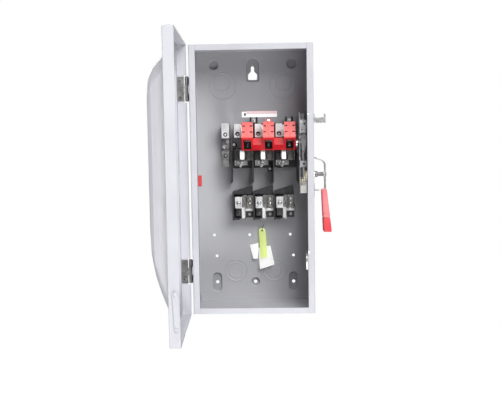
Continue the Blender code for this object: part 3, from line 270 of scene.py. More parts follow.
LOOKS = {
    "enclosure_paint": painted_steel(),
    "black_moulding": moulded_black(),
    "barrier_sheet": barrier_sheet(),
    # The carrier's paler top colour is a painted highlight.
    "red_moulding": moulded_red("red_moulding", (0.58, 0.009, 0.016), (0.72, 0.018, 0.028),
                                top_sheen_colour=(0.82, 0.15, 0.14)),
    # The next two are one red vinyl: the paler copy is painted highlight for the faces that catch the light,
    # the deeper copy painted shade for the end that faces down.
    "grip_red": moulded_red("grip_red", (0.74, 0.17, 0.19), (0.80, 0.25, 0.26), 0.35, 0.5),
    "grip_end_red": moulded_red("grip_end_red", (0.64, 0.05, 0.06), (0.72, 0.10, 0.11), 0.35, 0.5),
    "zinc_plate": plated("zinc_plate", (0.60, 0.60, 0.61), (0.86, 0.86, 0.87), 0.22, 0.36),
    "yellow_zinc": plated("yellow_zinc", (0.58, 0.44, 0.22), (0.74, 0.66, 0.42), 0.26, 0.4),
    "dark_steel": plated("dark_steel", (0.10, 0.10, 0.105), (0.20, 0.20, 0.205), 0.34, 0.5),
    "lug_aluminium": plated("lug_aluminium", (0.80, 0.80, 0.805), (0.96, 0.96, 0.965), 0.34, 0.5, grain=0.05),
    "tinned_copper": plated("tinned_copper", (0.62, 0.61, 0.59), (0.80, 0.79, 0.77), 0.20, 0.36),
    # The next two are lighter, part-metallic copies of the tin and zinc plating: painted highlight, keeping
    # them bright in the box's shade.
    "highlight_tin": plated("highlight_tin", (0.90, 0.90, 0.90), (0.98, 0.98, 0.98), 0.28, 0.42, metallic=0.6),
    "highlight_zinc": plated("highlight_zinc", (0.74, 0.75, 0.77), (0.94, 0.95, 0.97), 0.24, 0.38, metallic=0.6),
    # A darker copy of the tin plating: painted shade on the fuse bus, which lies in shade, and a dull tone
    # elsewhere.
    "shaded_dull_tin": plated("shaded_dull_tin", (0.20, 0.20, 0.20), (0.44, 0.43, 0.42), 0.30, 0.46),
    "white_nylon": nylon(),
    "white_label": paper("white_label", (0.88, 0.88, 0.88), (0.94, 0.94, 0.94), 0.4, 0.45),
    "red_label": paper("red_label", (0.50, 0.035, 0.04), (0.62, 0.07, 0.07), 0.4, 0.02),
    "pink_label": paper("pink_label", (0.86, 0.62, 0.64), (0.90, 0.70, 0.71), 0.4),
    "tag_green": paper("tag_green", (0.66, 0.74, 0.28), (0.76, 0.84, 0.40)),
    "tag_card": paper("tag_card", (0.86, 0.86, 0.84), (0.92, 0.92, 0.91)),
}


# Looks chosen by name: the darker tin copy is painted shade on the fuse bus and a dull tone on the hinges and
# the neutral; the lighter zinc copy is painted highlight on the mechanism frame and the drive link.
LOOK_BY_NAME = {"fuse_bus": "shaded_dull_tin", "hinge_": "shaded_dull_tin", "neutral_bar": "shaded_dull_tin",
                  "neutral_lug_lower": "shaded_dull_tin", "mechanism_frame": "highlight_zinc",
                  "drive_link": "highlight_zinc"}


def dress_cad():
    """Gives every CAD node the look of its slot, or the one chosen for it by name; some chosen looks are
    lighter and darker copies of the plating, painted highlight and painted shade.
    """
    slots = {row["node"]: row["material_slot"] for row in frame["record"]["subparts"]}
    for name, node in frame["nodes"].items():
        looks = [look for start, look in LOOK_BY_NAME.items() if name.startswith(start)]
        node.data.materials.clear()
        node.data.materials.append(LOOKS[(looks or [slots[name]])[0]])


# ------------------------------------------------------------------ drawing in millimetres

TO_ROW = Matrix.Translation((0.0, FRONT, MIDDLE)) @ Matrix.Scale(MM, 4)
JOINTS = {joint["name"]: joint for joint in frame["record"]["behaviour"]["joints"]}


def pivot(joint):
    """A joint's place in drawing millimetres: (x, depth, height)."""
    return TO_ROW.inverted() @ Vector(JOINTS[joint]["pos_m"])


def turned(axis, centre, degrees):
    """Turns what is drawn about a line through a point, along one of the drawing's axes."""
    move = Matrix.Translation(centre)
    return move @ Matrix.Rotation(radians(degrees), 4, axis) @ move.inverted()


ROTOR = pivot("rotor_swing")
HINGE = pivot("door_swing")
CRANK = pivot("link_swing")
SHAFT = pivot("handle_swing")
WITH_ROTOR = turned("X", ROTOR, JOINTS["rotor_swing"]["range_deg"][1])
WITH_DOOR = turned("Z", HINGE, JOINTS["door_swing"]["range_deg"][0])


def piece(name, bm, body, slot, replaces=None, turn=None, look=None):
    """Makes an object of a bmesh drawn in millimetres and hangs it on a body."""
    bmesh.ops.transform(bm, matrix=TO_ROW @ (turn or Matrix()), verts=bm.verts)
    bmesh.ops.recalc_face_normals(bm, faces=bm.faces[:])
    mesh = bpy.data.meshes.new(name)
    bm.to_mesh(mesh)
    bm.free()
    mesh.materials.append(LOOKS[look or slot])
    mesh.shade_smooth()
    mesh.set_sharp_from_angle(angle=radians(SHARP_ANGLE))
    item = bpy.data.objects.new(name, mesh)
    bpy.context.scene.collection.objects.link(item)
    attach(item, body)
    if replaces:
        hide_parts(replaces)


def placed(axis, along, across):
    point = list(across)
    point.insert("XYZ".index(axis), along)
    return Vector(point)


def arc(centre, radius, start, end, steps):
    angles = [radians(start + (end - start) * i / steps) for i in range(steps + 1)]
    return [(centre[0] + radius * cos(a), centre[1] + radius * sin(a)) for a in angles]


def circle(centre, radius, steps):
    return arc(centre, radius, 0.0, 360.0, steps)[:-1]


def rings(bm, loops, closed=True):
    """Skins a run of point loops and caps its ends."""
    made = [[bm.verts.new(point) for point in points] for points in loops]
    for lower, upper in zip(made, made[1:]):
        for i in range(len(lower)):
            j = (i + 1) % len(lower)
            bm.faces.new((lower[i], lower[j], upper[j], upper[i]))
    if closed:
        bm.faces.new(made[0])
        bm.faces.new(made[-1])
    return made


def prism(bm, axis, outline, start, end):
    rings(bm, [[placed(axis, along, point) for point in outline] for along in (start, end)])


def block(bm, low, high):
    outline = [(low[0], low[1]), (high[0], low[1]), (high[0], high[1]), (low[0], high[1])]
    prism(bm, "Z", outline, low[2], high[2])


def turning(bm, axis, centre, profile, steps=18):
    """A solid of revolution from (distance along the axis, radius) steps."""
    rings(bm, [[placed(axis, along, point) for point in circle(centre, radius, steps)]
               for along, radius in profile])


def tube(bm, path, radius, sides=8):
    """A round wire along a path of points."""
    path = [Vector(point) for point in path]
    loops = []
    normal = None
    for i, point in enumerate(path):
        ahead = (path[min(i + 1, len(path) - 1)] - path[max(i - 1, 0)]).normalized()
        if normal is None:
            normal = ahead.orthogonal().normalized()
        normal = (normal - ahead * normal.dot(ahead)).normalized()
        other = ahead.cross(normal)
        loops.append([point + normal * u + other * v for u, v in circle((0.0, 0.0), radius, sides)])
    rings(bm, loops)


def recess_outline(kind, radius, turn):
    """Outline of a screw's drive about its middle: a cross, a slot or a hexagon."""
    if kind == "hex":
        return circle((0.0, 0.0), radius * 0.58, 6)
    long, thin = radius * 0.66, radius * 0.16
    if kind == "slot":
        corners = [(long * 1.3, thin), (-long * 1.3, thin), (-long * 1.3, -thin), (long * 1.3, -thin)]
    else:
        corners = []
        for quarter in range(4):
            c, s = cos(quarter * pi / 2), sin(quarter * pi / 2)
            for u, v in ((long, -thin), (long, thin), (thin * 1.3, thin * 1.3)):
                corners.append((u * c - v * s, u * s + v * c))
    c, s = cos(radians(turn)), sin(radians(turn))
    return [(u * c - v * s, u * s + v * c) for u, v in corners]


def screw(bm, centre, radius, rise, kind, turn=20.0, shank=2.0):
    """A screw that faces forward: its head stands on a depth, with a real recess in its crown."""
    x, depth, height = centre

    def at_depth(points, back):
        return [Vector((x + u, depth - back, height + v)) for u, v in points]

    steps = 20
    crown = ((0.94, -shank / rise), (0.98, 0.0), (1.0, 0.35), (0.95, 0.75), (0.80, 1.0))
    made = rings(bm, [at_depth(circle((0.0, 0.0), radius * share, steps), rise * up) for share, up in crown],
                 closed=False)
    bm.faces.new(made[0])
    drive = recess_outline(kind, radius, turn)
    rim = [bm.verts.new(point) for point in at_depth(drive, rise)]
    floor = [bm.verts.new(point) for point in at_depth(drive, rise * 0.25)]
    edges = []
    for verts in (made[-1], rim):
        for first, second in zip(verts, verts[1:] + verts[:1]):
            edges.append(bm.edges.get((first, second)) or bm.edges.new((first, second)))
    bmesh.ops.triangle_fill(bm, edges=edges, use_beauty=True)
    for i in range(len(rim)):
        j = (i + 1) % len(rim)
        bm.faces.new((rim[i], rim[j], floor[j], floor[i]))
    bm.faces.new(floor)


def sheet(corners, bend, columns=8, rows=12):
    """Paper between four (x, height) corners, clockwise from top left, its depth given by bend(u, v)."""
    bm = bmesh.new()
    grid = []
    for row in range(rows + 1):
        v = row / rows
        left = Vector(corners[0]).lerp(Vector(corners[3]), v)
        right = Vector(corners[1]).lerp(Vector(corners[2]), v)
        line = []
        for column in range(columns + 1):
            u = column / columns
            x, height = left.lerp(right, u)
            line.append(bm.verts.new((x, bend(u, v), height)))
        grid.append(line)
    for upper, lower in zip(grid, grid[1:]):
        for i in range(columns):
            bm.faces.new((upper[i], upper[i + 1], lower[i + 1], lower[i]))
    bmesh.ops.solidify(bm, geom=bm.faces[:], thickness=PAPER_THICK)
    return bm


# ------------------------------------------------------------------ fine hardware

def line_side():
    """Screws of the line lugs, with a black plate in each recess as painted shade, the middle foot, the
    prongs and tabs, and the neutral's boss.
    """
    bright, black = bmesh.new(), bmesh.new()
    for pole in POLES:
        # A black plate behind the lug's screw: painted shade in its recess.
        block(black, (pole - 25.4, 84.5, 79.8), (pole - 14.8, 85.4, 90.0))
        screw(bright, (pole - LUG_SIDE, 84.4, 85.0), 2.3, 1.6, "hex")
        screw(bright, (pole - 14.6, 80.6, 24.8), 3.3, 1.8, "slot", turn=35.0 + pole, shank=20.0)
        screw(bright, (pole + 1.2, 100.4, 79.6), 2.6, 1.4, "cross", turn=10.0 + pole)
    foot = POLES[1] + 1.4
    block(black, (foot - 5.4, 97.6, 10.6), (foot + 5.4, 105.0, 23.8))
    prism(black, "Y", circle((foot, 17.4), 4.7, 16), 96.8, 98.0)
    screw(bright, (foot, 96.8, 17.4), 2.6, 1.8, "cross", turn=foot)
    for middle in (POLES[0] + 11.0, POLES[-1]):
        block(bright, (middle - 3.6, 100.8, 108.0), (middle + 3.6, 103.8, 114.6))
        screw(bright, (middle, 100.8, 111.2), 2.5, 1.2, "slot", turn=65.0)
        for side in (-1, 1):
            edge = middle + side * 6.4
            prong = [(edge - 1.4, 112.0), (edge + 1.4, 112.0), (edge + 1.0, 117.6), (edge - 1.0, 117.6)]
            prism(black, "Y", prong, 99.3, 101.0)
    turning(black, "Y", BOSS_PLACE, [(115.4, 5.2), (97.4, 4.4), (96.6, 3.8)])
    screw(bright, (BOSS_PLACE[0], 96.6, BOSS_PLACE[1]), 3.2, 2.0, "cross")
    piece("line_side_screws", bright, "root", "zinc_plate")
    piece("base_feet", black, "root", "black_moulding")


def clip_jaw(bm, middle, front, low, high):
    """Flared mouths of a fuse clip's leaves and the spring band round their roots."""
    gap, leaf = 4.6, 1.5
    for side in (-1, 1):
        flare = [(gap, front + 1.0), (gap + leaf, front + 1.0), (gap + leaf + 0.3, front - 0.6),
                 (gap + leaf + 2.2, front - 3.4), (gap + leaf + 1.3, front - 3.9), (gap + 0.4, front - 1.2)]
        prism(bm, "Z", [(middle + side * u, depth) for u, depth in flare], low + 0.4, high - 0.4)
        band = [(gap + leaf, front + 12.0), (gap + leaf + 0.9, front + 11.6), (gap + leaf + 0.9, front + 3.6),
                (gap + leaf, front + 2.8)]
        prism(bm, "Z", [(middle + side * u, depth) for u, depth in band], low + 5.0, high - 5.0)


def clip_springs():
    """Flares, bands and rivets of both fuse clips of each pole."""
    bm = bmesh.new()
    for pole in POLES:
        clip_jaw(bm, pole + CLIP_SIDE, 80.0, 35.0, 54.0)
        clip_jaw(bm, pole + CLIP_SIDE, 76.0, -58.0, -34.6)
        for height in (-40.6, -51.6):
            turning(bm, "Y", (pole + CLIP_SIDE, height), [(99.6, 2.6), (98.4, 2.6), (97.8, 1.8)], 12)
    piece("clip_springs", bm, "root", "tinned_copper")


def contact_plates():
    """Plate over each upper clip in a lighter copy of the tin, a painted highlight, and the black housing,
    dull tab and screws beside it.
    """
    bm, black, dull = bmesh.new(), bmesh.new(), bmesh.new()
    for pole in POLES:
        side = [(73.6, 36.6), (71.0, 36.8), (70.4, 37.6), (73.2, 53.4), (74.4, 54.4), (75.0, 54.2),
                (74.0, 53.0), (71.6, 38.0)]
        prism(bm, "X", side, pole - 15.4, pole - 7.2)
        housing = [(pole - 26.8, 35.4), (pole - 16.2, 35.4), (pole - 16.2, 40.0), (pole - 18.0, 44.0),
                   (pole - 18.0, 54.6), (pole - 26.8, 54.6)]
        prism(black, "Y", housing, 84.0, 89.4)
        for low, high in ((37.0, 41.6), (45.4, 47.6), (50.2, 52.4)):
            block(black, (pole - 25.4, 82.6, low), (pole - 19.4, 84.2, high))
        block(dull, (pole - 26.6, 86.8, 24.8), (pole - 16.6, 88.4, 34.4))
        screw(dull, (pole - 19.6, 84.8, 30.0), 2.9, 1.5, "cross", turn=pole)
        screw(bm, (pole - 13.0, 82.6, 31.4), 2.4, 1.4, "slot", turn=pole)
    # The plates are given the lighter tin copy: painted highlight.
    piece("contact_plates", bm, "root", "tinned_copper", look="highlight_tin")
    piece("bus_housings", black, "root", "black_moulding")
    piece("bus_tabs", dull, "root", "zinc_plate")


def load_side():
    """Wire screws of the load lugs with black linings in their recesses as painted shade, rivets and straps
    of the clips and ribs of the trays.
    """
    bright, black, dark, strip = bmesh.new(), bmesh.new(), bmesh.new(), bmesh.new()
    for pole in POLES:
        # A black lining in the lug's recess: painted shade.
        turning(black, "Y", (pole - LUG_SIDE, -48.0), [(90.0, 4.4), (77.7, 4.4), (77.6, 3.9)], 16)
        screw(bright, (pole - LUG_SIDE, 77.6, -48.0), 3.2, 1.0, "hex", turn=12.0)
        screw(bright, (pole + 1.0, 84.6, -70.4), 2.8, 1.5, "slot", turn=50.0 + pole)
        for height in (-36.0, -53.0):
            block(black, (pole - 30.0, 82.0, height - 0.9), (pole - 28.4, 103.0, height + 0.9))
        block(dark, (pole - 25.8, 93.6, -74.6), (pole - 14.6, 104.4, -58.6))
        turning(dark, "Y", (pole - 20.2, -67.2), [(94.0, 3.4), (93.0, 3.4), (92.4, 2.4)], 16)
        block(strip, (pole - 14.0, 77.6, -77.0), (pole - 8.2, 78.8, -57.0))
        block(strip, (pole - 7.4, 84.6, -63.6), (pole + 7.4, 85.4, -59.6))
        block(black, (pole - 7.6, 84.9, -76.8), (pole + 8.0, 86.0, -64.4))
    piece("load_side_screws", bright, "root", "zinc_plate")
    piece("tray_straps", dark, "root", "lug_aluminium", look="dark_steel")
    # The strips are given the lighter tin copy: painted highlight.
    piece("link_strips", strip, "root", "tinned_copper", look="highlight_tin")
    piece("tray_ribs", black, "root", "black_moulding")


def neutral_screws():
    bm = bmesh.new()
    screw(bm, (-56.4, 88.4, 61.2), 4.0, 2.0, "cross", turn=42.0, shank=4.0)
    screw(bm, (-49.4, 88.4, 70.8), 3.4, 1.8, "cross", turn=15.0, shank=4.0)
    wells = bmesh.new()
    for height in (85.0, 44.5):
        # A black lining in each neutral lug's recess: painted shade.
        turning(wells, "Y", (NEUTRAL_X, height), [(80.0, 5.0), (73.9, 5.0), (73.5, 4.4)], 16)
        screw(bm, (NEUTRAL_X, 73.5, height), 2.0, 0.5, "hex")
    block(wells, (-61.0, 92.0, 56.0), (-45.0, 96.6, 57.8))
    block(wells, (-61.0, 92.0, 73.4), (-45.0, 96.6, 75.0))
    piece("neutral_wells", wells, "root", "black_moulding")
    piece("neutral_screws", bm, "root", "zinc_plate")


def rotor_pieces():
    """Lips, ribs and one screwed boss on the blade carrier, black walls behind its windows as painted shade,
    and the rivets through each blade's root.
    """
    red, steel, bright, black = bmesh.new(), bmesh.new(), bmesh.new(), bmesh.new()
    hood = ROTOR + Vector((0.0, CARRIER_FRONT, CARRIER_TOP))

    def from_hood(outline):
        return [(hood.y + u, hood.z + v) for u, v in outline]

    for pole in POLES:
        lip = [(-1.0, -4.0), (-1.0, 0.6), (0.0, 1.3), (4.2, 1.3), (5.0, -0.4), (1.0, -4.0)]
        prism(red, "X", from_hood(lip), pole - 10.7, pole + 10.7)
        rib = [(6.0, -0.4), (7.0, 0.7), (36.0, 0.7), (36.8, -0.4)]
        prism(red, "X", from_hood(rib), pole - 1.7, pole + 1.7)
        # Black walls inside each hood behind its windows, here and below: painted shade that makes the
        # windows read dark.
        block(black, (pole - 8.4, hood.y + 2.4, hood.z - 2.4), (pole + 8.4, hood.y + 34.0, hood.z - 1.86))
        block(steel, (pole - 1.8, ROTOR.y - 17.6, ROTOR.z + 12.2),
              (pole + 1.8, ROTOR.y - 11.8, ROTOR.z + 14.0))
        low = (pole - 7.3, hood.y + 1.0, ROTOR.z + 11.7)
        block(black, low, (pole + 7.1, ROTOR.y - 6.4, ROTOR.z + 12.2))
        for x in (pole - 7.3, pole + 6.7):
            block(black, (x, low[1], low[2]), (x + 0.4, ROTOR.y - 6.4, ROTOR.z + 26.6))
        rivet = [(pole - 3.4, 1.5), (pole - 2.9, 2.2), (pole + 2.9, 2.2), (pole + 3.4, 1.5)]
        for forward, up in ((-6.0, 8.2), (-3.3, 11.2)):
            turning(steel, "X", (ROTOR.y + forward, ROTOR.z + up), rivet, 14)
    boss = [(35.6, -7.0), (35.6, 0.4), (43.0, 0.4), (44.4, -1.0), (44.4, -7.0)]
    prism(red, "X", from_hood(boss), POLES[1] - 5.4, POLES[1] + 5.4)
    head = hood.z + 0.2
    turning(bright, "Z", (POLES[1] + 0.4, hood.y + 39.6),
            [(head, 3.3), (head + 1.0, 3.3), (head + 1.8, 2.6), (head + 2.0, 1.0)], 18)
    bar_front = ROTOR.y + CARRIER_FRONT
    for first, second in zip(POLES, POLES[1:]):
        middle = (first + second) / 2
        ridge = [(middle - 8.4, bar_front + 0.4), (middle - 7.8, bar_front - 0.8),
                 (middle + 7.8, bar_front - 0.8), (middle + 8.4, bar_front + 0.4)]
        prism(red, "Z", ridge, ROTOR.z + 16.6, ROTOR.z + 19.4)
    piece("carrier_ribs", red, "rotor", "red_moulding", turn=WITH_ROTOR)
    piece("blade_rivets", steel, "rotor", "zinc_plate", turn=WITH_ROTOR)
    piece("carrier_screw", bright, "rotor", "zinc_plate", turn=WITH_ROTOR)
    piece("carrier_wells", black, "rotor", "black_moulding", turn=WITH_ROTOR)


def link_ends():
    """The drive link's two ends in drawing millimetres."""
    low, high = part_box("link_spring")
    corners = [TO_ROW.inverted() @ corner for corner in (low, high)]
    radius = 3.6
    lower = Vector((corners[1].x - radius, corners[0].y + radius, corners[0].z))
    upper = Vector((corners[0].x + radius, corners[1].y - radius, corners[1].z))
    return lower, upper


def link_spring():
    """Compression spring on the drive link's rod, its coils a little wider apart at the ends than in the
    middle.
    """
    lower, upper = link_ends()
    along = (upper - lower).normalized()
    first = along.orthogonal().normalized()
    second = along.cross(first)
    turns, steps, radius = 11.0, 16, 2.95
    path = []
    for i in range(int(turns * steps) + 1):
        angle = 2 * pi * i / steps
        share = i / (turns * steps)
        eased = share + 0.045 * sin(2 * pi * share)
        spot = lower.lerp(upper, eased)
        path.append(spot + first * radius * cos(angle) + second * radius * sin(angle))
    bm = bmesh.new()
    tube(bm, path, 0.62, 6)
    piece("link_spring_coil", bm, "link", "zinc_plate", replaces="link_spring")


def mechanism_pieces():
    """Toggle plate on the link, clips on its pins, and fittings on the side plate's ears."""
    plate = bmesh.new()
    outline = [(91.2, 80.0), (93.4, 84.0), (98.0, 84.6), (102.0, 79.6), (101.4, 66.0), (99.2, 52.0),
               (96.4, 47.4), (93.4, 49.4), (92.8, 64.0)]
    prism(plate, "Y", outline, 53.4, 54.8)
    turning(plate, "Y", (97.0, 76.0), [(55.6, 3.0), (52.8, 3.0), (52.0, 2.0)], 14)
    turning(plate, "Y", (96.4, 53.6), [(56.4, 2.4), (52.8, 2.4), (52.2, 1.6)], 14)
    # The toggle plate is given the lighter zinc copy: painted highlight.
    piece("toggle_plate", plate, "link", "zinc_plate", look="highlight_zinc")

    pins = bmesh.new()
    turning(pins, "X", (CRANK.y, CRANK.z), [(101.0, 3.4), (102.0, 3.4), (102.8, 2.4)], 14)
    turning(pins, "X", (SHAFT.y, SHAFT.z), [(99.4, 5.6), (103.0, 5.6), (103.0, 3.6), (105.0, 3.2)], 6)
    piece("crank_fittings", pins, "handle", "zinc_plate")

    fixed, dark = bmesh.new(), bmesh.new()
    for x, height in ((93.0, 104.4), (97.6, 91.4)):
        turning(fixed, "Y", (x, height), [(38.4, 2.5), (37.4, 2.5), (36.8, 1.7)], 14)
    for x, height, radius in ((98.0, 103.0, 1.9), (92.6, 92.0, 1.5)):
        turning(dark, "Y", (x, height), [(38.4, radius), (37.9, radius), (37.8, radius * 0.6)], 14)
    block(dark, (90.0, 37.6, 84.9), (100.8, 40.0, 86.0))
    turning(dark, "Y", (96.0, 28.3), [(37.4, 2.1), (36.6, 2.1), (36.4, 1.4)], 12)
    turns = [i * pi / 7 for i in range(112)]
    coil = [(95.2 + 1.7 * cos(t), 46.0 + 1.7 * sin(t), 20.6 - 0.31 * t) for t in turns]
    tube(fixed, coil, 0.42, 6)
    for height in (113.0, -8.0, -20.0):
        screw(fixed, (96.0, 110.4, height), 3.0, 1.6, "cross", turn=height)
    piece("frame_fittings", fixed, "root", "zinc_plate")
    piece("frame_holes", dark, "root", "black_moulding")


def door_pieces():
    """Rivets of the hinge leaves and the hook inside the door."""
    rivets = bmesh.new()
    for name in ("upper", "lower"):
        low, high = (TO_ROW.inverted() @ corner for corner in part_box(f"hinge_door_leaf_{name}"))
        middle = (low.z + high.z) / 2
        for offset in (-15.0, 15.0):
            turning(rivets, "X", (3.4, middle + offset), [(-114.4, 2.3), (-113.8, 2.3), (-113.5, 1.5)], 12)
    piece("hinge_rivets", rivets, "door", "dark_steel", turn=WITH_DOOR)

    hook = bmesh.new()
    outline = arc((-104.6, 10.4), 3.4, 0.0, 180.0, 8)
    outline += [(-107.4, 3.0), (-105.4, -15.6), (-103.8, -15.6), (-101.8, 3.0)]
    prism(hook, "Y", outline, -1.8, -0.4)
    piece("door_hook", hook, "door", "enclosure_paint", turn=WITH_DOOR)


def flange_pieces():
    """Small pale fittings on the enclosure's right lip: a screw and three flat tabs."""
    bm = bmesh.new()
    screw(bm, (98.4, 1.2, -143.2), 1.9, 1.2, "cross")
    tongue = [(96.9, -151.4), (99.6, -150.6), (100.4, -158.0), (99.8, -165.4), (97.4, -164.8)]
    prism(bm, "Y", tongue, 0.6, 1.9)
    prism(bm, "Y", [(100.6, -130.4), (104.0, -131.0), (103.4, -136.8), (100.9, -136.2)], -1.2, -0.1)
    prism(bm, "Y", [(101.0, 121.0), (104.4, 120.6), (104.2, 118.4), (100.8, 118.8)], -1.0, -0.1)
    piece("lip_fittings", bm, "root", "white_nylon")


def handle_pieces():
    """Seam of the grip and the washer on the end of the shaft."""
    low, high = (TO_ROW.inverted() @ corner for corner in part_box("handle_grip"))
    seam = bmesh.new()
    share = 0.58
    inner, outer = low.x + 3.4 * share - 0.12, high.x - 9.0 * (0.667 - share) + 0.12
    half = (high.y - low.y) / 2 - 0.15
    middle = (low.y + high.y) / 2
    outline = rounded(inner, outer, middle - half, middle + half, 3.6, 4)
    prism(seam, "Z", outline, low.z + 7.6, low.z + 8.2)
    piece("grip_seam", seam, "handle", "grip_end_red")

    washer = bmesh.new()
    turning(washer, "X", (SHAFT.y, SHAFT.z), [(133.6, 6.6), (134.6, 6.6)], 20)
    piece("shaft_washer", washer, "handle", "zinc_plate")


def rounded(left, right, bottom, top, corner, steps):
    points = []
    for x, y, start in ((right - corner, top - corner, 0.0), (left + corner, top - corner, 90.0),
                        (left + corner, bottom + corner, 180.0), (right - corner, bottom + corner, 270.0)):
        points += arc((x, y), corner, start, start + 90.0, steps)
    return points


def papers():
    """Curled card tags that hang inside, and the marks of the rating label."""
    def lean(near, curl, crease=None):
        def depth(u, v):
            fold = 0.0 if crease is None else 5.0 * max(0.0, crease - v * 0.8 - u * 0.2)
            return near - curl * v * v - 1.6 * sin(pi * u) + fold
        return depth

    folded = sheet([(-10.5, -135.0), (6.7, -131.1), (5.7, -161.6), (-3.4, -162.6)], lean(113.4, 5.0))
    piece("tag_folded_paper", folded, "root", "tag_card", replaces="tag_folded")
    card = sheet([(6.6, -140.9), (30.4, -136.5), (38.3, -173.5), (9.4, -182.6)], lean(112.0, 7.0, 0.45))
    piece("tag_card_paper", card, "root", "tag_card", replaces="tag_card")
    strip = sheet([(8.0, -107.0), (21.4, -107.0), (24.4, -158.6), (11.0, -160.6)], lean(111.0, 4.0), 6, 18)
    cap = [(8.0, -107.0)] + arc((14.7, -107.2), 6.7, 180.0, 0.0, 8)
    prism(strip, "Y", cap, 110.5, 110.9)
    piece("tag_strip_paper", strip, "root", "tag_green", replaces="tag_strip")
    eyelet = bmesh.new()
    turning(eyelet, "Y", EYELET_PLACE, [(111.0, 2.7), (109.9, 2.7), (109.6, 2.3)], 18)
    tube(eyelet, [(14.7, 109.2, -107.0), (15.2, 107.4, -101.0), (17.0, 108.6, -95.6), (19.4, 112.6, -93.0),
                  (19.8, 115.4, -92.6)], 0.5, 6)
    piece("tag_eyelet", eyelet, "root", "dark_steel")

    marks = bmesh.new()
    prism(marks, "Y", rounded(-18.2, -13.8, 121.6, 127.2, 0.6, 2), 114.9, 115.3)
    piece("rating_mark", marks, "root", "dark_steel")
    band = bmesh.new()
    block(band, (-12.8, 115.0, 124.6), (46.6, 115.4, 130.6))
    piece("rating_band", band, "root", "white_label", look="pink_label")
    lines = bmesh.new()
    left, right, low, high = -36.4, 68.9, 112.4, 131.8
    for a, b, c in ((left, right, high - LABEL_BORDER), (left, left + LABEL_BORDER, low),
                    (right - LABEL_BORDER, right, low)):
        block(lines, (a, 115.4, c), (b, 115.9, high))
    piece("rating_border", lines, "root", "white_label", look="enclosure_paint")


def fine_hardware():
    line_side()
    clip_springs()
    contact_plates()
    load_side()
    neutral_screws()
    rotor_pieces()
    link_spring()
    mechanism_pieces()
    door_pieces()
    flange_pieces()
    handle_pieces()
    papers()


# ------------------------------------------------------------------ studio

FLOOR_DROP = 2.4            # metres below the object, so that it stays out of the lamps' way
FLOOR_GLOW = 0.07           # what the floor sends to the object; the camera sees it at full strength
AMBIENT = 0.04
LAMPS = (("key", (1.4, -3.1, 1.8), 2.2, 136.0), ("left_fill", (-2.5, -1.5, -0.6), 1.3, 42.0),
         ("top", (0.2, -1.2, 2.4), 1.2, 34.0), ("below", (0.6, -1.5, -2.0), 1.3, 37.0),
         ("rear", (-0.6, 2.8, 0.9), 1.5, 60.0))


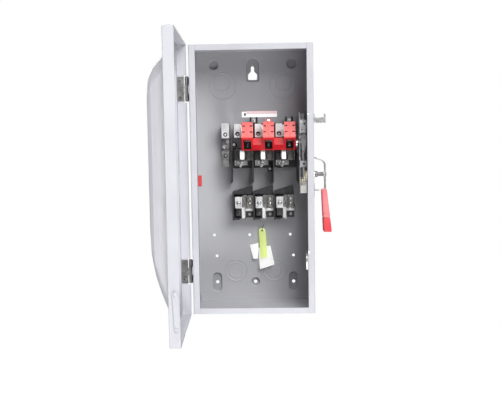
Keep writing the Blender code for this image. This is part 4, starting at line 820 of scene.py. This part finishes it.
def studio():
    """A world and floor that the camera sees as white, and five lamps, the key from the upper right."""
    world = bpy.data.worlds.new("surroundings")
    world.use_nodes = True
    nodes, links = world.node_tree.nodes, world.node_tree.links
    ray, way, split = (nodes.new(f"ShaderNode{kind}") for kind in ("LightPath", "TexCoord", "SeparateXYZ"))
    sky, mirrored, seen = (nodes.new(f"ShaderNode{kind}") for kind in ("MapRange", "MapRange", "MapRange"))
    for name, value in (("From Min", -0.2), ("From Max", 0.5), ("To Min", 0.05), ("To Max", 0.9)):
        sky.inputs[name].default_value = value
    mirrored.inputs["To Min"].default_value = AMBIENT
    seen.inputs["To Max"].default_value = 1.0
    links.new(way.outputs["Generated"], split.inputs[0])
    links.new(split.outputs["Z"], sky.inputs["Value"])
    links.new(ray.outputs["Is Glossy Ray"], mirrored.inputs["Value"])
    links.new(sky.outputs["Result"], mirrored.inputs["To Max"])
    links.new(ray.outputs["Is Camera Ray"], seen.inputs["Value"])
    links.new(mirrored.outputs["Result"], seen.inputs["To Min"])
    links.new(seen.outputs["Result"], nodes["Background"].inputs["Strength"])
    nodes["Background"].inputs["Color"].default_value = (1.0, 1.0, 1.0, 1.0)
    bpy.context.scene.world = world
    bpy.context.scene.view_settings.view_transform = "Standard"

    bm = bmesh.new()
    bmesh.ops.create_circle(bm, cap_ends=True, segments=96, radius=9.0)
    mesh = bpy.data.meshes.new("floor")
    bm.to_mesh(mesh)
    bm.free()
    floor = bpy.data.objects.new("floor", mesh)
    floor.location = (0.0, 0.0, CAD_BOUNDS[0].z - FLOOR_DROP)
    bpy.context.scene.collection.objects.link(floor)
    tree = Tree("floor_paint")
    speckle = tree.noise(3.0)
    pale = tree.mix(speckle, (0.90, 0.90, 0.90), (0.94, 0.94, 0.94))
    tree.shader.inputs["Emission Color"].default_value = (1.0, 1.0, 1.0, 1.0)
    direct = tree.nodes.new("ShaderNodeLightPath").outputs["Is Camera Ray"]
    tree.wire(tree.spread(direct, FLOOR_GLOW, 1.0, 0.0, 1.0), tree.shader.inputs["Emission Strength"])
    mesh.materials.append(tree.finish(pale, 0.8))

    for name, place, size, power in LAMPS:
        light = bpy.data.lights.new(name, "AREA")
        light.size = size
        light.energy = power
        lamp = bpy.data.objects.new(name, light)
        lamp.location = place
        lamp.visible_camera = False
        target = at(0.0, 60.0, 0.0)
        lamp.rotation_euler = (target - Vector(place)).to_track_quat("-Z", "Y").to_euler()
        bpy.context.scene.collection.objects.link(lamp)


SENSOR = 36.0
LENS = 52.99
CAMERA_PLACE = (0.038, -1.466, -0.1495)
YAW, PITCH, ROLL = 1.83, 4.78, -0.89


def camera():
    """Nearly square on from a little above, at the height of the upper part of the box."""
    data = bpy.data.cameras.new("camera")
    data.sensor_width = SENSOR
    data.lens = LENS
    data.clip_start = 0.05
    data.clip_end = 50.0
    item = bpy.data.objects.new("camera", data)
    yaw, pitch, roll = radians(YAW), radians(PITCH), radians(ROLL)
    forward = Vector((-sin(yaw) * cos(pitch), cos(yaw) * cos(pitch), -sin(pitch)))
    level = Vector((cos(yaw), sin(yaw), 0.0))
    upright = level.cross(forward)
    right = level * cos(roll) + upright * sin(roll)
    up = upright * cos(roll) - level * sin(roll)
    item.matrix_world = Matrix((right, up, -forward)).transposed().to_4x4()
    item.location = CAMERA_PLACE
    bpy.context.scene.collection.objects.link(item)
    bpy.context.scene.camera = item


camera()
studio()
dress_cad()
fine_hardware()
